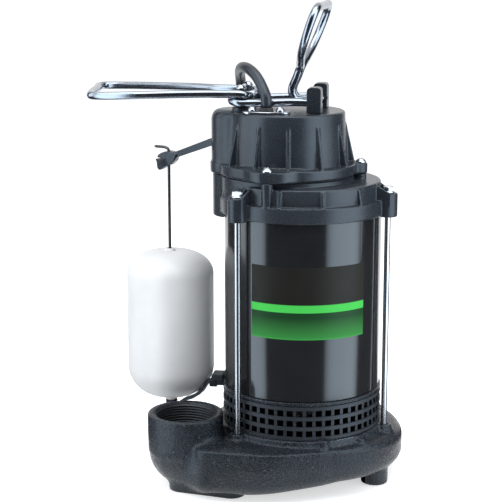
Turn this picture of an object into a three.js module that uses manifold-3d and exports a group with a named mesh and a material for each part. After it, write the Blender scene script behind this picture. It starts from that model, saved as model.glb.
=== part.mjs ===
// Submersible sump pump with a vertical float switch. Millimetres, +Z up.
// The origin is on the motor's axis, in the plane of the feet, and -Y is the front.
import * as THREE from 'three';
import { mergeVertices } from 'three/addons/utils/BufferGeometryUtils.js';
import Module from 'manifold-3d';

const wasm = await Module();
wasm.setup();

// ---------------------------------------------------------------- clearances
const seat = 0.3; // between pieces that rest on or fit round each other
const slack = 0.7; // round a piece that moves
const cornerRelief = 0.2; // more for a coarse ring's corners in a finer bore

// ---------------------------------------------------------------- facets round a circle
const wide = 32; // the can and what fits it
const middling = 20;
const small = 10;

// ---------------------------------------------------------------- base casting
const footHeight = 14; // floor to the casting's underside
const voluteHeight = 30; // underside to deck
const voluteMargin = 16.5; // round body outside the can
const voluteOffset = [4, 6]; // centre of the round body from the motor's axis
const voluteEdge = 6; // rounding of the deck's edge
const voluteUnder = 10; // rounding of the lower edge
const seatRise = 4.5; // deck to strainer seat
const wallFall = 0.1; // slope of the front wall's lower edge, down towards the elbow
const wallSpread = 9; // front wall beyond the round body's front, beside the elbow
const wallCasting = 5;
const footRadius = 11;
const seatLedge = 11.8; // strainer's outside to the chamber's side
const chamberFloor = 6; // casting thickness under the impeller
const suctionPlateThickness = 4;
const suctionEyeRadius = 21;

// ---------------------------------------------------------------- discharge
const outletStandOff = 36.5; // can's side to the discharge axis
const outletAngle = 198.5; // degrees about +Z
const outletTop = 62;
const outletRadius = 30.5;
const outletBore = 24.4; // mouth of the 1-1/2 inch pipe thread
const outletThreadDepth = 22;
const outletThroat = 21;
const elbowHeight = 31; // floor to the centre of the elbow
const elbowRadius = 29.5;

// ---------------------------------------------------------------- strainer
const plateOverhang = 1.3; // strainer and lower plate outside the can
const strainerWall = 3;
const strainerColumns = 36;
const strainerRows = 3;
const slotHeight = 5.3;
const slotShare = 0.66; // open share of each column's width
const webHeight = 2.9;
const sillHeight = 2.4;
const bandHeight = 3; // plain band above the top row

// ---------------------------------------------------------------- motor
const canRadius = 63.5;
const canWall = 1.6;
const canLength = 148.3;
const plateThickness = 3;
const spigotHeight = 8;
const hubRadius = 14;
const hubDrop = 14; // lower hub below its plate
const shaftRadius = 6;
const bushWall = 4;
const bushLength = 16;
const rotorInset = 26.5; // can's side to the rotor
const airGap = 0.8;
const coreLength = 84;
const coreLift = 27; // can's lower edge to the core
const endTurnHeight = 17;
const endTurnGap = 4.1; // end turns to the can's bore
const sealRadius = 11;
const sealHeight = 5;

// ---------------------------------------------------------------- impeller
const impellerMargin = 7; // impeller to the chamber's side
const impellerDisc = 3;
const impellerHeight = 15;
const impellerHub = 11;
const vaneCount = 6;
const vaneThickness = 3;

// ---------------------------------------------------------------- motor cap
const capWall = 3; // rim outside the can
const rimOverlap = 6; // rim below the can's upper edge
const rimHeight = 12.2;
const capFloor = 8;
const tierStep = 4.5; // rim to the upper tier, in radius
const tierHeight = 13.6;
const collarRise = 3.7; // upper tier to the cover's gasket
const tierRibs = 12;
const tierRibWidth = 2.6;

// ---------------------------------------------------------------- tie rods
const rodAngles = [-138.5, -18.5, 101.5];
const rodRadius = 2.4;
const rodStandOff = 6.5; // can's side to the rod's axis
const lugRadius = 7.6;
const lugHeight = 19;
const lugDrop = 1.2; // lug below the rim's lower edge
const rodThread = 13; // length held in the base
const bossRadius = 8.5;
const bossTaper = 1.7;
const hexFlangeRadius = 5;
const hexAcross = 8;
const hexHeight = 5;

// ---------------------------------------------------------------- switch cover
const coverOffset = [-12.5, 1]; // cover's centre from the motor's axis
const coverTurn = -10; // degrees about +Z, for the cover, handle and cord plate
const gasketThickness = 0.5;
const flangeInset = 8.5; // can's side to the cover's flange
const flangeThickness = 8.3;
const coverHeight = 50;
const flangeLedge = 7; // flange outside the wall's foot
const coverDraft = 2.5; // wall's foot to its head, in radius
const coverRound = 1.5;
const coverWall = 3.5;
const bulgeInset = 7.7; // wall's foot to the bulge's axis
const bulgeRadius = 21.5;
const bulgeRound = 7;
const coverRibs = 12;
const coverRibStart = -81;
const coverRibWidth = 2.4;
const coverRibDrop = 9.5; // top face to the ribs' upper ends
const coverScrewAngles = [7, -97, 97, 150];
const coverScrewStandOff = 3.5; // flange to the screws' circle
const coverLugRadius = 6.5;
const coverScrewRadius = 2;
const coverScrewLength = 20;
const panHeadRadius = 4.2;
const panHeadHeight = 3.4;

// ---------------------------------------------------------------- handle
const wireRadius = 3.2;
const eyeAcross = 15; // handle's centre line to each eye
const eyeInset = 10.3; // cover's head to the eyes
const eyeRadius = 7.5; // wire's centre line round the screw
const eyeBossRadius = 7;
const gripReach = 158.5; // cover's centre to the side grip
const gripSkew = 6.5; // how much further the rear corner of the side grip reaches
const gripHalf = 44;
const uprightHeight = 82; // cover's top to the upright grip
const uprightHalf = 42;
const returnBend = 6.6; // where each bar turns back to the upright grip
const clipInset = 22.7; // cover's head to the clips' middle
const clipAcross = 20;
const clipLength = 13.5;
const clipWidth = 14;
const clipHeight = 20;
const handleScrewRadius = 2;

// ---------------------------------------------------------------- cord
const cordRadius = 4.25;
const cordPlateShift = -12.5; // cord plate from the cover's centre, along the handle
const cordPlateInset = 14.9; // cover's head to the cord plate's middle
const cordPlateLength = 32;
const cordPlateWidth = 14.5;
const cordPlateThickness = 1.6;
const cordScrewSet = 11;
const cordScrewRadius = 1.6;
const cordHeadRadius = 3.4;
const glandRadius = 5.6;
const glandBelow = 22;
const glandAbove = 3;
const coilCentre = [3, 153];
const coilMean = 47.5; // radius at the middle of the turns
const coilPitch = 9.1; // turn to turn, and layer to layer
const coilTurns = 3.25; // turns in each of the two layers
const coilTail = 26; // straight end, out past the lower turns
const cordRest = 4.4; // height of the cord's centre on the floor
const plugWidth = 25;
const plugLength = 30;
const plugNeck = 14;
const bladeLength = 17;

// ---------------------------------------------------------------- float switch
const pivotPastBulge = 12; // bulge's axis to the pivot
const leverRise = 26.7; // pivot above the cover's seat
const leverAngle = 155.4; // plan direction of the arm, degrees about +Z
const leverReach = 50; // pivot to float rod, in plan
const leverDrop = 19; // rod end below the pivot at rest
const leverLift = 22; // degrees from rest to its upper stop
const leverPin = 1.6;
const leverRoot = 6.8; // arm's height at the pivot
const leverTip = 5;
const leverWidth = 5;
const leverBall = 6.6;
const leverTail = 9;
const earGap = 9;
const earThickness = 3;
const floatRodRadius = 1.2;
const hookLength = 13;
const floatRadius = 37.5;
const floatLength = 131;
const floatRound = 27; // radius of the float's shoulders
const floatBottom = 53;
const stopRadius = 5;
const stopHeight = 4;
const guideHeight = 6;
const guideTop = 46;
const guideEyeRadius = 8.5;
const guideGrip = 6.5; // length of its block under the lug
const guideClampAngle = 171;
const guideClampTop = 82;
const lugDepth = 6; // strainer's lug: its foot, its ledge over the guide, and its width
const lugReach = 11;
const lugLedge = 4.5;
const lugWidth = 14;
const rodEnd = 17;
const switchSize = [26, 10, 14];

// ---------------------------------------------------------------- heights that follow
const strainerRadius = canRadius + plateOverhang;
const voluteRadius = canRadius + voluteMargin;
const outletReach = canRadius + outletStandOff; // motor axis to discharge axis
const rotorRadius = canRadius - rotorInset;
const chamberRadius = strainerRadius - seatLedge;
const impellerRadius = chamberRadius - impellerMargin;
const flangeRadius = canRadius - flangeInset;
const coverFoot = flangeRadius - flangeLedge; // wall radius at the flange
const coverHead = coverFoot - coverDraft; // wall radius at the top
const bulgeReach = coverFoot - bulgeInset;
const coverScrewCircle = flangeRadius + coverScrewStandOff;
const eyeSet = eyeInset - coverHead; // eyes from the cover's centre
const clipSet = coverHead - clipInset;
const cordPlateSet = [cordPlateShift, cordPlateInset - coverHead];
const leverSet = -bulgeReach - pivotPastBulge; // pivot from the cover's centre, along the bulge
const voluteBottom = footHeight;
const deckZ = voluteBottom + voluteHeight;
const seatZ = deckZ + seatRise;
const strainerZ = seatZ + seat;
const rowPitch = slotHeight + webHeight;
const strainerHeight = sillHeight + strainerRows * rowPitch - webHeight + bandHeight;
const plateZ = strainerZ + strainerHeight + seat;
const canZ = plateZ + plateThickness + seat;
const canTop = canZ + canLength;
const capFloorZ = canTop + seat;
const rimZ = canTop - rimOverlap;
const rimTop = rimZ + rimHeight;
const tierTop = rimTop + tierHeight;
const collarZ = tierTop + collarRise;
const coverZ = collarZ + gasketThickness + 2 * seat;
const coverTop = coverZ + coverHeight;
const rimRadius = canRadius + seat + capWall;
const tierRadius = rimRadius - tierStep;
const rodCircle = canRadius + rodStandOff;
const lugZ = rimZ - lugDrop;
const lugTop = lugZ + lugHeight;

// ---------------------------------------------------------------- plan geometry
const rad = (degrees) => THREE.MathUtils.degToRad(degrees);
const polar = (radius, degrees) => [radius * Math.cos(rad(degrees)), radius * Math.sin(rad(degrees))];
const outlet = polar(outletReach, outletAngle);
const coverPoint = (x, y) => {
  const turn = rad(coverTurn);
  return [
    coverOffset[0] + x * Math.cos(turn) - y * Math.sin(turn),
    coverOffset[1] + x * Math.sin(turn) + y * Math.cos(turn),
  ];
};
const bulge = coverPoint(-bulgeReach, 0);
const pivot = [...coverPoint(leverSet, 0), coverZ + leverRise];
const armPlan = polar(1, leverAngle);
const rodTopPoint = [
  pivot[0] + armPlan[0] * leverReach,
  pivot[1] + armPlan[1] * leverReach,
  pivot[2] - leverDrop,
];
const armLength = Math.hypot(leverReach, leverDrop);
const rodTravel = armLength - leverReach; // the rod's way outwards as the arm lifts
const armSlope = Math.atan2(leverDrop, leverReach);
const plungerRise = 2.4;
const switchTop = pivot[2] - leverRoot / 2 - 0.9 - plungerRise;
const switchBack = leverTail - 8 + switchSize[0] / 2; // pivot to the switch's middle
const switchPlan = [pivot[0] - armPlan[0] * switchBack, pivot[1] - armPlan[1] * switchBack];

// ---------------------------------------------------------------- materials
const finish = (color, roughness, metalness) => () =>
  new THREE.MeshStandardMaterial({ color, roughness, metalness });
const castIron = finish(0x1b1c1f, 0.6, 0.3);
const blackPaint = finish(0x0b0c0e, 0.22, 0.2);
const blackPlastic = finish(0x202226, 0.5, 0);
const zinc = finish(0xc9ccd0, 0.28, 1);
const steel = finish(0x9da1a6, 0.35, 1);
const bronze = finish(0xa5793f, 0.4, 1);
const copper = finish(0xa85c32, 0.45, 0.9);
const rubber = finish(0x141414, 0.8, 0);
const whitePlastic = finish(0xf1f2f0, 0.3, 0);

// ---------------------------------------------------------------- solids
// Merges a geometry's shared corners and drops the slivers at a pole.
function closedMesh(geometry) {
  const bare = geometry.index ? geometry.clone() : geometry;
  for (const name of ['normal', 'uv']) bare.deleteAttribute(name);
  const merged = mergeVertices(bare, 1e-4);
  const from = merged.index.array;
  const kept = [];
  for (let i = 0; i < from.length; i += 3) {
    const [a, b, c] = [from[i], from[i + 1], from[i + 2]];
    if (a !== b && b !== c && c !== a) kept.push(a, b, c);
  }
  return { vertProperties: merged.attributes.position.array, triVerts: Uint32Array.from(kept) };
}

// Six times the volume that a mesh's triangles enclose, negative where they face inwards.
function signedVolume({ vertProperties: p, triVerts: t }) {
  const corner = (i) => new THREE.Vector3(p[3 * i], p[3 * i + 1], p[3 * i + 2]);
  let sum = 0;
  for (let i = 0; i < t.length; i += 3) {
    sum += corner(t[i]).dot(corner(t[i + 1]).cross(corner(t[i + 2])));
  }
  return sum;
}

function solid(geometry) {
  const mesh = closedMesh(geometry);
  if (signedVolume(mesh) < 0) mesh.triVerts.reverse();
  return new wasm.Manifold(new wasm.Mesh({ numProp: 3, ...mesh }));
}

function geometryOf(body) {
  const { vertProperties, triVerts } = body.getMesh();
  const geometry = new THREE.BufferGeometry();
  geometry.setAttribute('position', new THREE.BufferAttribute(vertProperties, 3));
  geometry.setIndex(new THREE.BufferAttribute(triVerts, 1));
  geometry.computeVertexNormals();
  return geometry;
}

const join = (...bodies) => bodies.reduce((sum, body) => sum.add(body));
const cut = (body, ...tools) => tools.reduce((rest, tool) => rest.subtract(tool), body);

// A body of revolution about a vertical axis through (x, y). The outline is [radius, z] pairs.
function turned(outline, sides, [x, y] = [0, 0]) {
  const points = outline.map(([radius, z]) => new THREE.Vector2(radius, z));
  const geometry = new THREE.LatheGeometry(points, sides);
  geometry.rotateX(Math.PI / 2);
  geometry.translate(x, y, 0);
  return solid(geometry);
}

function cylinder(radius, low, high, at = [0, 0], sides = middling) {
  return turned([[0, low], [radius, low], [radius, high], [0, high]], sides, at);
}

function ring(outer, inner, low, high, at = [0, 0], sides = middling) {
  return turned([[inner, low], [outer, low], [outer, high], [inner, high], [inner, low]], sides, at);
}

// A flat outline of [x, y] pairs, or a THREE.Shape, raised from one height to another.
function prism(outline, low, high) {
  const shape = outline instanceof THREE.Shape
    ? outline
    : new THREE.Shape(outline.map(([x, y]) => new THREE.Vector2(x, y)));
  const geometry = new THREE.ExtrudeGeometry(shape, { depth: high - low, bevelEnabled: false, curveSegments: 5 });
  geometry.translate(0, 0, low);
  return solid(geometry);
}

// An outline of [reach, z] pairs standing upright along a plan direction, with a thickness across it.
function upright(outline, thickness, degrees, [x, y] = [0, 0]) {
  const shape = new THREE.Shape(outline.map(([reach, z]) => new THREE.Vector2(reach, z)));
  const geometry = new THREE.ExtrudeGeometry(shape, { depth: thickness, bevelEnabled: false });
  geometry.translate(0, 0, -thickness / 2);
  geometry.rotateX(Math.PI / 2);
  geometry.rotateZ(rad(degrees));
  geometry.translate(x, y, 0);
  return solid(geometry);
}

function block(size, centre, degrees = 0) {
  const geometry = new THREE.BoxGeometry(...size);
  geometry.rotateZ(rad(degrees));
  geometry.translate(...centre);
  return solid(geometry);
}

// A closed skin over rings of points with the same count, with a flat cap at each end.
function skin(rings) {
  const count = rings[0].length;
  const points = rings.flat();
  const index = [];
  for (let r = 0; r + 1 < rings.length; r += 1) {
    for (let i = 0; i < count; i += 1) {
      const a = r * count + i;
      const b = r * count + ((i + 1) % count);
      index.push(a, b, b + count, a, b + count, a + count);
    }
  }
  for (const [first, flip] of [[0, true], [(rings.length - 1) * count, false]]) {
    for (let i = 1; i + 1 < count; i += 1) {
      index.push(first, first + (flip ? i + 1 : i), first + (flip ? i : i + 1));
    }
  }
  const geometry = new THREE.BufferGeometry().setFromPoints(points);
  geometry.setIndex(index);
  return geometry;
}

function tube(points, radius, steps, sides) {
  const path = new THREE.CatmullRomCurve3(points, false, 'centripetal');
  const section = new THREE.Shape();
  for (let i = 0; i < sides; i += 1) {
    const [x, y] = polar(radius, (360 * i) / sides);
    if (i === 0) section.moveTo(x, y);
    else section.lineTo(x, y);
  }
  return solid(new THREE.ExtrudeGeometry(section, { steps, extrudePath: path }));
}

// Rings of a round section set square to a path at each of its points, without twist.
function bentRod(points, radius, sides, firstUp = new THREE.Vector3(0, 0, 1)) {
  let up = firstUp;
  const rings = points.map((point, k) => {
    const before = points[Math.max(k - 1, 0)];
    const after = points[Math.min(k + 1, points.length - 1)];
    const along = after.clone().sub(before).normalize();
    up = up.clone().addScaledVector(along, -up.dot(along)).normalize();
    const across = new THREE.Vector3().crossVectors(along, up);
    const ringPoints = [];
    for (let i = 0; i < sides; i += 1) {
      const [c, s] = polar(radius, (360 * (i + 0.5)) / sides);
      ringPoints.push(point.clone().addScaledVector(across, c).addScaledVector(up, s));
    }
    return ringPoints;
  });
  return solid(skin(rings));
}

// Points along a smooth curve, close together only where it bends.
function thinned(points, bend, longest) {
  const curve = new THREE.CatmullRomCurve3(points, false, 'centripetal');
  const fine = curve.getSpacedPoints(900);
  const kept = [fine[0]];
  let heading = fine[1].clone().sub(fine[0]).normalize();
  for (let i = 1; i + 1 < fine.length; i += 1) {
    const next = fine[i + 1].clone().sub(fine[i]).normalize();
    const far = fine[i].distanceTo(kept[kept.length - 1]) > longest;
    if (far || heading.angleTo(next) > rad(bend)) {
      kept.push(fine[i]);
      heading = next;
    }
  }
  kept.push(fine[fine.length - 1]);
  return kept;
}

// A level hull round two circles.
function stadium([x0, y0], [x1, y1], radius, low, high) {
  const angle = Math.atan2(y1 - y0, x1 - x0);
  const shape = new THREE.Shape();
  shape.absarc(x1, y1, radius, angle - Math.PI / 2, angle + Math.PI / 2);
  shape.absarc(x0, y0, radius, angle + Math.PI / 2, angle + 1.5 * Math.PI);
  return prism(shape, low, high);
}

// ---------------------------------------------------------------- scene graph
const pump = new THREE.Group();
const head = new THREE.Group(); // the cover's own frame: its centre, seat and turn
head.position.set(coverOffset[0], coverOffset[1], coverZ);
head.rotation.z = rad(coverTurn);
pump.add(head);

function place(name, body, material, group = pump) {
  const mesh = new THREE.Mesh(geometryOf(body), material());
  mesh.name = name;
  group.add(mesh);
  return mesh;
}

// ---------------------------------------------------------------- base casting
// The water way's centre line: plan point, height, half width and half height.
// It leaves the round chamber at the front and grows towards the elbow.
function waterWay() {
  const front = voluteOffset[1] - voluteRadius;
  const middle = voluteBottom + voluteHeight / 2;
  const half = voluteHeight / 2;
  const [ex, ey] = outlet;
  return [
    [10, front + 18, middle, 13, half - 2],
    [-14, front + 14, middle, 16, half - 2],
    [-36, front + 12, middle, 18, half - 2],
    [ex + 39, ey - 23, middle, 20, half - 1.5],
    [ex + 18, ey - 14, middle, 21, half + 4],
    [ex, ey, elbowHeight, elbowRadius, elbowRadius - 2],
  ];
}

// Plan of the body round the water way, clockwise. Its front wall leaves the round body at the
// right and runs almost straight to a corner beside the elbow.
function wingOutline() {
  const [cx, cy] = voluteOffset;
  const front = cy - voluteRadius;
  const [ex, ey] = outlet;
  const onRound = (degrees) => {
    const [x, y] = polar(voluteRadius - 0.4, degrees);
    return [cx + x, cy + y];
  };
  return [
    onRound(-20),
    onRound(-50),
    onRound(-70),
    [cx + 6, front - wallSpread * 0.2],
    [cx - 6, front - wallSpread * 0.49],
    [ex + 67, front - wallSpread],
    [ex + 39, front - wallSpread * 0.36],
    [ex + 13, front + 2.5],
    [ex + 7, ey - 29],
    [ex + 6, ey + 12],
    [ex + 24, ey + 50],
    [cx, cy + 20],
  ];
}

// Each corner of a convex outline moves inwards so that both its sides do by the same distance.
function insetOutline(outline, distance) {
  return outline.map(([x, y], i) => {
    const before = outline[(i + outline.length - 1) % outline.length];
    const after = outline[(i + 1) % outline.length];
    const a = new THREE.Vector2(x - before[0], y - before[1]).normalize();
    const b = new THREE.Vector2(after[0] - x, after[1] - y).normalize();
    const inward = new THREE.Vector2(-a.y - b.y, a.x + b.x);
    inward.multiplyScalar((2 * distance) / inward.lengthSq());
    return [x + inward.x, y + inward.y];
  });
}

function voluteWing() {
  const outline = wingOutline().reverse();
  const levels = [
    [voluteBottom, voluteUnder, 1],
    [voluteBottom + voluteUnder * 0.3, voluteUnder * 0.3, 1],
    [voluteBottom + voluteUnder, 0, 1],
    [deckZ - voluteEdge, 0, 0],
    [deckZ - voluteEdge * 0.3, voluteEdge * 0.3, 0],
    [deckZ, voluteEdge, 0],
  ];
  return solid(skin(levels.map(([z, distance, falls]) =>
    insetOutline(outline, distance).map(([x, y]) =>
      new THREE.Vector3(x, y, z + falls * wallFall * (x - canRadius / 2))))));
}

function waterWaySkin(inset, sides) {
  const way = waterWay();
  const path = new THREE.CatmullRomCurve3(way.map(([x, y, z]) => new THREE.Vector3(x, y, z)));
  const sizes = new THREE.CatmullRomCurve3(way.map(([, , , a, b]) => new THREE.Vector3(a, b, 0)));
  const steps = 7;
  const rings = [];
  for (let k = 0; k <= steps; k += 1) {
    const centre = path.getPoint(k / steps);
    const size = sizes.getPoint(k / steps);
    const along = path.getTangent(k / steps);
    const across = new THREE.Vector3(along.y, -along.x, 0).normalize();
    const ringPoints = [];
    for (let i = 0; i < sides; i += 1) {
      const [c, s] = polar(1, (360 * i) / sides);
      ringPoints.push(centre.clone()
        .addScaledVector(across, c * (size.x - inset))
        .add(new THREE.Vector3(0, 0, s * (size.y - inset))));
    }
    rings.push(ringPoints);
  }
  return solid(skin(rings));
}

function sphere(radius, centre, across = 16) {
  const geometry = new THREE.SphereGeometry(radius, across, across / 2);
  geometry.rotateX(Math.PI / 2);
  geometry.translate(...centre);
  return solid(geometry);
}

function voluteBody() {
  const radius = voluteRadius;
  const low = voluteBottom;
  const round = voluteUnder;
  const outline = [
    [0, low],
    [radius - round, low],
    [radius - round * 0.3, low + round * 0.3],
    [radius, low + round],
    [radius, deckZ - voluteEdge],
    [radius - voluteEdge * 0.3, deckZ - voluteEdge * 0.3],
    [radius - voluteEdge, deckZ],
    [0, deckZ],
  ];
  return turned(outline, wide, voluteOffset);
}

function strainerSeat() {
  const radius = strainerRadius + 2;
  return turned([[0, deckZ - 2], [radius + 2, deckZ - 2], [radius + 1.4, seatZ - 0.6], [radius, seatZ], [0, seatZ]], 28);
}

function feet() {
  const right = polar(rodCircle - footRadius / 2, rodAngles[1] - 5);
  const rear = polar(rodCircle - footRadius / 2, rodAngles[2]);
  const pad = stadium([outlet[0] - 2, outlet[1] - 8], polar(rodCircle + 4, rodAngles[0]), 11, 0, footHeight + 8);
  const under = footHeight + voluteUnder / 2;
  return join(pad, cylinder(footRadius, 0, under, right, 14), cylinder(footRadius, 0, under, rear, 14));
}

function rodBosses() {
  const outline = [
    [0, deckZ - 4],
    [bossRadius, deckZ - 4],
    [bossRadius, deckZ],
    [bossRadius - bossTaper, seatZ],
    [0, seatZ],
  ];
  return join(...rodAngles.map((angle) => turned(outline, small, polar(rodCircle, angle))));
}

function casting() {
  const outside = join(
    voluteBody(),
    strainerSeat(),
    voluteWing(),
    waterWaySkin(0, 14),
    sphere(elbowRadius, [...outlet, elbowHeight], 14),
    turned([
      [0, elbowHeight],
      [outletRadius - 1, elbowHeight],
      [outletRadius, elbowHeight + 8],
      [outletRadius, outletTop - 1.5],
      [outletRadius - 1.5, outletTop],
      [0, outletTop],
    ], 28, outlet),
    feet(),
    rodBosses(),
  );
  const level = cylinder(voluteRadius * 3, -60, 0, [0, 0], small);
  const shoulder = seatZ - suctionPlateThickness - seat;
  const inside = [
    cylinder(chamberRadius, voluteBottom + chamberFloor, shoulder + 1),
    cylinder(chamberRadius + 4, shoulder, seatZ + 20),
    waterWaySkin(wallCasting, 8),
    sphere(elbowRadius - wallCasting, [...outlet, elbowHeight], 10),
    cylinder(outletThroat, elbowHeight, outletTop, outlet, 28),
    turned([
      [0, outletTop - outletThreadDepth],
      [outletBore - 1, outletTop - outletThreadDepth],
      [outletBore - 1, outletTop - 2],
      [outletBore, outletTop - 1],
      [outletBore, outletTop + 5],
      [0, outletTop + 5],
    ], 28, outlet),
    ...rodAngles.map((angle) => cylinder(rodRadius + seat, seatZ - rodThread - 1, seatZ + 20, polar(rodCircle, angle), small)),
  ];
  return cut(outside, level, ...inside);
}

place('volute_casting', casting(), castIron);

function suctionPlate() {
  const low = seatZ - suctionPlateThickness;
  const plate = turned([
    [suctionEyeRadius + 3, low],
    [chamberRadius + 4 - seat, low],
    [chamberRadius + 4 - seat, seatZ],
    [suctionEyeRadius, seatZ],
    [suctionEyeRadius, low + 1],
    [suctionEyeRadius + 3, low],
  ], middling);
  return plate;
}

place('suction_plate', suctionPlate(), castIron);

// ---------------------------------------------------------------- strainer
// A round cage with rows of near-square holes, one column of holes to each flat of its wall.
function strainer() {
  const sides = strainerColumns;
  const inner = strainerRadius - strainerWall;
  const top = strainerZ + strainerHeight;
  const wall = ring(strainerRadius, inner, strainerZ, top, [0, 0], sides);
  const step = 360 / sides;
  const width = 2 * strainerRadius * Math.sin(rad(step / 2)) * slotShare;
  const holes = [];
  for (let column = 0; column < sides; column += 1) {
    const angle = (column + 0.5) * step + 90;
    for (let row = 0; row < strainerRows; row += 1) {
      const z = strainerZ + sillHeight + row * rowPitch + slotHeight / 2;
      holes.push(block([strainerWall * 3, width, slotHeight], [...polar(inner + strainerWall / 2, angle), z], angle));
    }
  }
  return wall.subtract(wasm.Manifold.union(holes));
}

// The lug beside the can that the float's guide hangs from.
function guideLug() {
  const low = strainerZ + strainerHeight - bandHeight;
  const reach = canRadius + seat;
  const [x, y] = polar(1, guideClampAngle);
  const stem = (depth, bottom) => block(
    [depth, lugWidth, guideClampTop - bottom],
    [x * (reach + depth / 2), y * (reach + depth / 2), (bottom + guideClampTop) / 2],
    guideClampAngle,
  );
  const foot = stem(lugDepth, low);
  const top = stem(lugReach, guideClampTop - lugLedge);
  const clear = cylinder(strainerRadius + seat, plateZ - seat, guideClampTop + 5, [0, 0], wide);
  return cut(join(foot, top), clear);
}

place('strainer', join(strainer(), guideLug()), blackPlastic);

// ---------------------------------------------------------------- motor
function motorPlate() {
  const top = plateZ + plateThickness;
  const inside = canRadius - canWall - seat;
  const bore = shaftRadius + bushWall + seat;
  const disc = turned([
    [bore + 1, plateZ],
    [strainerRadius, plateZ],
    [strainerRadius, top],
    [inside, top],
    [inside, top + spigotHeight],
    [inside - 4, top + spigotHeight],
    [inside - 6, top],
    [bore + 1, top],
    [bore + 1, plateZ],
  ], wide);
  return join(disc, turned([
    [bore, plateZ - hubDrop],
    [hubRadius, plateZ - hubDrop],
    [hubRadius + 3, plateZ + 1],
    [hubRadius, top + 4],
    [bore, top + 4],
    [bore, plateZ - hubDrop],
  ], 14));
}

place('lower_motor_plate', motorPlate(), castIron);

place('motor_can', turned([
  [canRadius - canWall, canZ],
  [canRadius, canZ],
  [canRadius, canTop],
  [canRadius - canWall, canTop],
  [canRadius - canWall, canZ],
], wide), blackPaint);

const coreZ = canZ + coreLift;
const coreTop = coreZ + coreLength;
const coreInner = rotorRadius + airGap;
const coreOuter = canRadius - canWall - seat - cornerRelief;
place('stator_core', ring(coreOuter, coreInner, coreZ, coreTop), steel);

function endTurns(low) {
  const inner = coreInner + 3;
  const high = low + endTurnHeight;
  const outer = canRadius - canWall - endTurnGap;
  return turned([
    [inner, low],
    [outer, low],
    [outer - 2, high],
    [inner + 2, high],
    [inner, low],
  ], middling);
}

place('winding_upper', endTurns(coreTop + seat), copper);
place('winding_lower', endTurns(coreZ - seat - endTurnHeight), copper);

const bushLow = plateZ + plateThickness + 4 - bushLength;
const bushHigh = capFloorZ - bushLength - seat;
place('lower_bush', ring(shaftRadius + bushWall, shaftRadius + seat, bushLow, bushLow + bushLength, [0, 0], 14), bronze);
place('upper_bush', ring(shaftRadius + bushWall, shaftRadius + seat, bushHigh, bushHigh + bushLength, [0, 0], 14), bronze);

// A seal ring round the spigot, under the can's edge.
const spigotTop = plateZ + plateThickness + spigotHeight;
const canBore = canRadius - canWall;
place('can_seal', ring(canBore - seat - cornerRelief, canBore - 3, spigotTop + seat, spigotTop + seat + 2), rubber);

// ---------------------------------------------------------------- rotor
const impellerZ = voluteBottom + chamberFloor + 4;
const impellerTop = impellerZ + impellerHeight;
const sealZ = plateZ - hubDrop - seat - sealHeight;
place('rotor_shaft', turned([
  [0, impellerZ + 1],
  [shaftRadius - 1, impellerZ + 1],
  [shaftRadius, impellerZ + 2],
  [shaftRadius, bushHigh + bushLength - 2],
  [shaftRadius - 1, bushHigh + bushLength - 1],
  [0, bushHigh + bushLength - 1],
], 14), steel);
place('rotor_core', ring(rotorRadius, shaftRadius + seat, coreZ - 2, coreTop + 2), steel);
place('shaft_seal_head', ring(sealRadius, shaftRadius + seat, sealZ - sealHeight - seat, sealZ - seat, [0, 0], 14), rubber);
place('shaft_seal_seat', ring(sealRadius, shaftRadius + slack, sealZ, sealZ + sealHeight, [0, 0], 14), bronze);

// Six vanes swept back along an arc, on a disc with a hub.
function impeller() {
  const disc = turned([
    [0, impellerZ - 2],
    [impellerHub, impellerZ - 2],
    [impellerRadius, impellerZ],
    [impellerRadius, impellerZ + impellerDisc],
    [impellerHub + 4, impellerZ + impellerDisc],
    [impellerHub, impellerZ + impellerDisc + 4],
    [impellerHub, impellerTop],
    [0, impellerTop],
  ], middling);
  const vanes = [];
  for (let i = 0; i < vaneCount; i += 1) {
    const outline = [];
    const back = [];
    for (let k = 0; k <= 3; k += 1) {
      const radius = impellerHub - 1 + ((impellerRadius - impellerHub) * k) / 3;
      const angle = (360 * i) / vaneCount - 18 * k;
      outline.push(polar(radius, angle));
      back.unshift(polar(radius, angle + THREE.MathUtils.radToDeg(vaneThickness / radius)));
    }
    vanes.push(prism([...outline, ...back], impellerZ + 1, impellerTop - 1));
  }
  return cut(join(disc, ...vanes), cylinder(shaftRadius + seat, impellerZ + 1 - seat, impellerTop + 5, [0, 0], 14));
}

place('impeller', impeller(), castIron);

// ---------------------------------------------------------------- motor cap
function capLug(angle) {
  const at = polar(rodCircle, angle);
  const post = cylinder(lugRadius, lugZ, lugTop, at, small);
  const web = upright([
    [tierRadius - 6, rimTop - 4],
    [rodCircle - hexFlangeRadius - 0.7, rimTop - 4],
    [rodCircle - hexFlangeRadius - 0.7, lugTop + 0.8],
    [tierRadius - 1.5, tierTop - 0.5],
    [tierRadius - 6, tierTop - 0.5],
  ], 8.5, angle);
  return join(post, web);
}

function screwPosts(low, high, radius, sides) {
  return coverScrewAngles.map((angle) =>
    cylinder(radius, low, high, coverPoint(...polar(coverScrewCircle, angle)), sides));
}

function capRibs() {
  const ribs = [];
  for (let i = 0; i < tierRibs; i += 1) {
    const angle = rodAngles[1] + (360 * i) / tierRibs;
    ribs.push(upright([
      [tierRadius - 3, rimTop - 1],
      [rimRadius - 1.2, rimTop - 1],
      [tierRadius + 1.2, tierTop - 1.5],
      [tierRadius - 3, tierTop - 1.5],
    ], tierRibWidth, angle));
  }
  return ribs;
}

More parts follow.
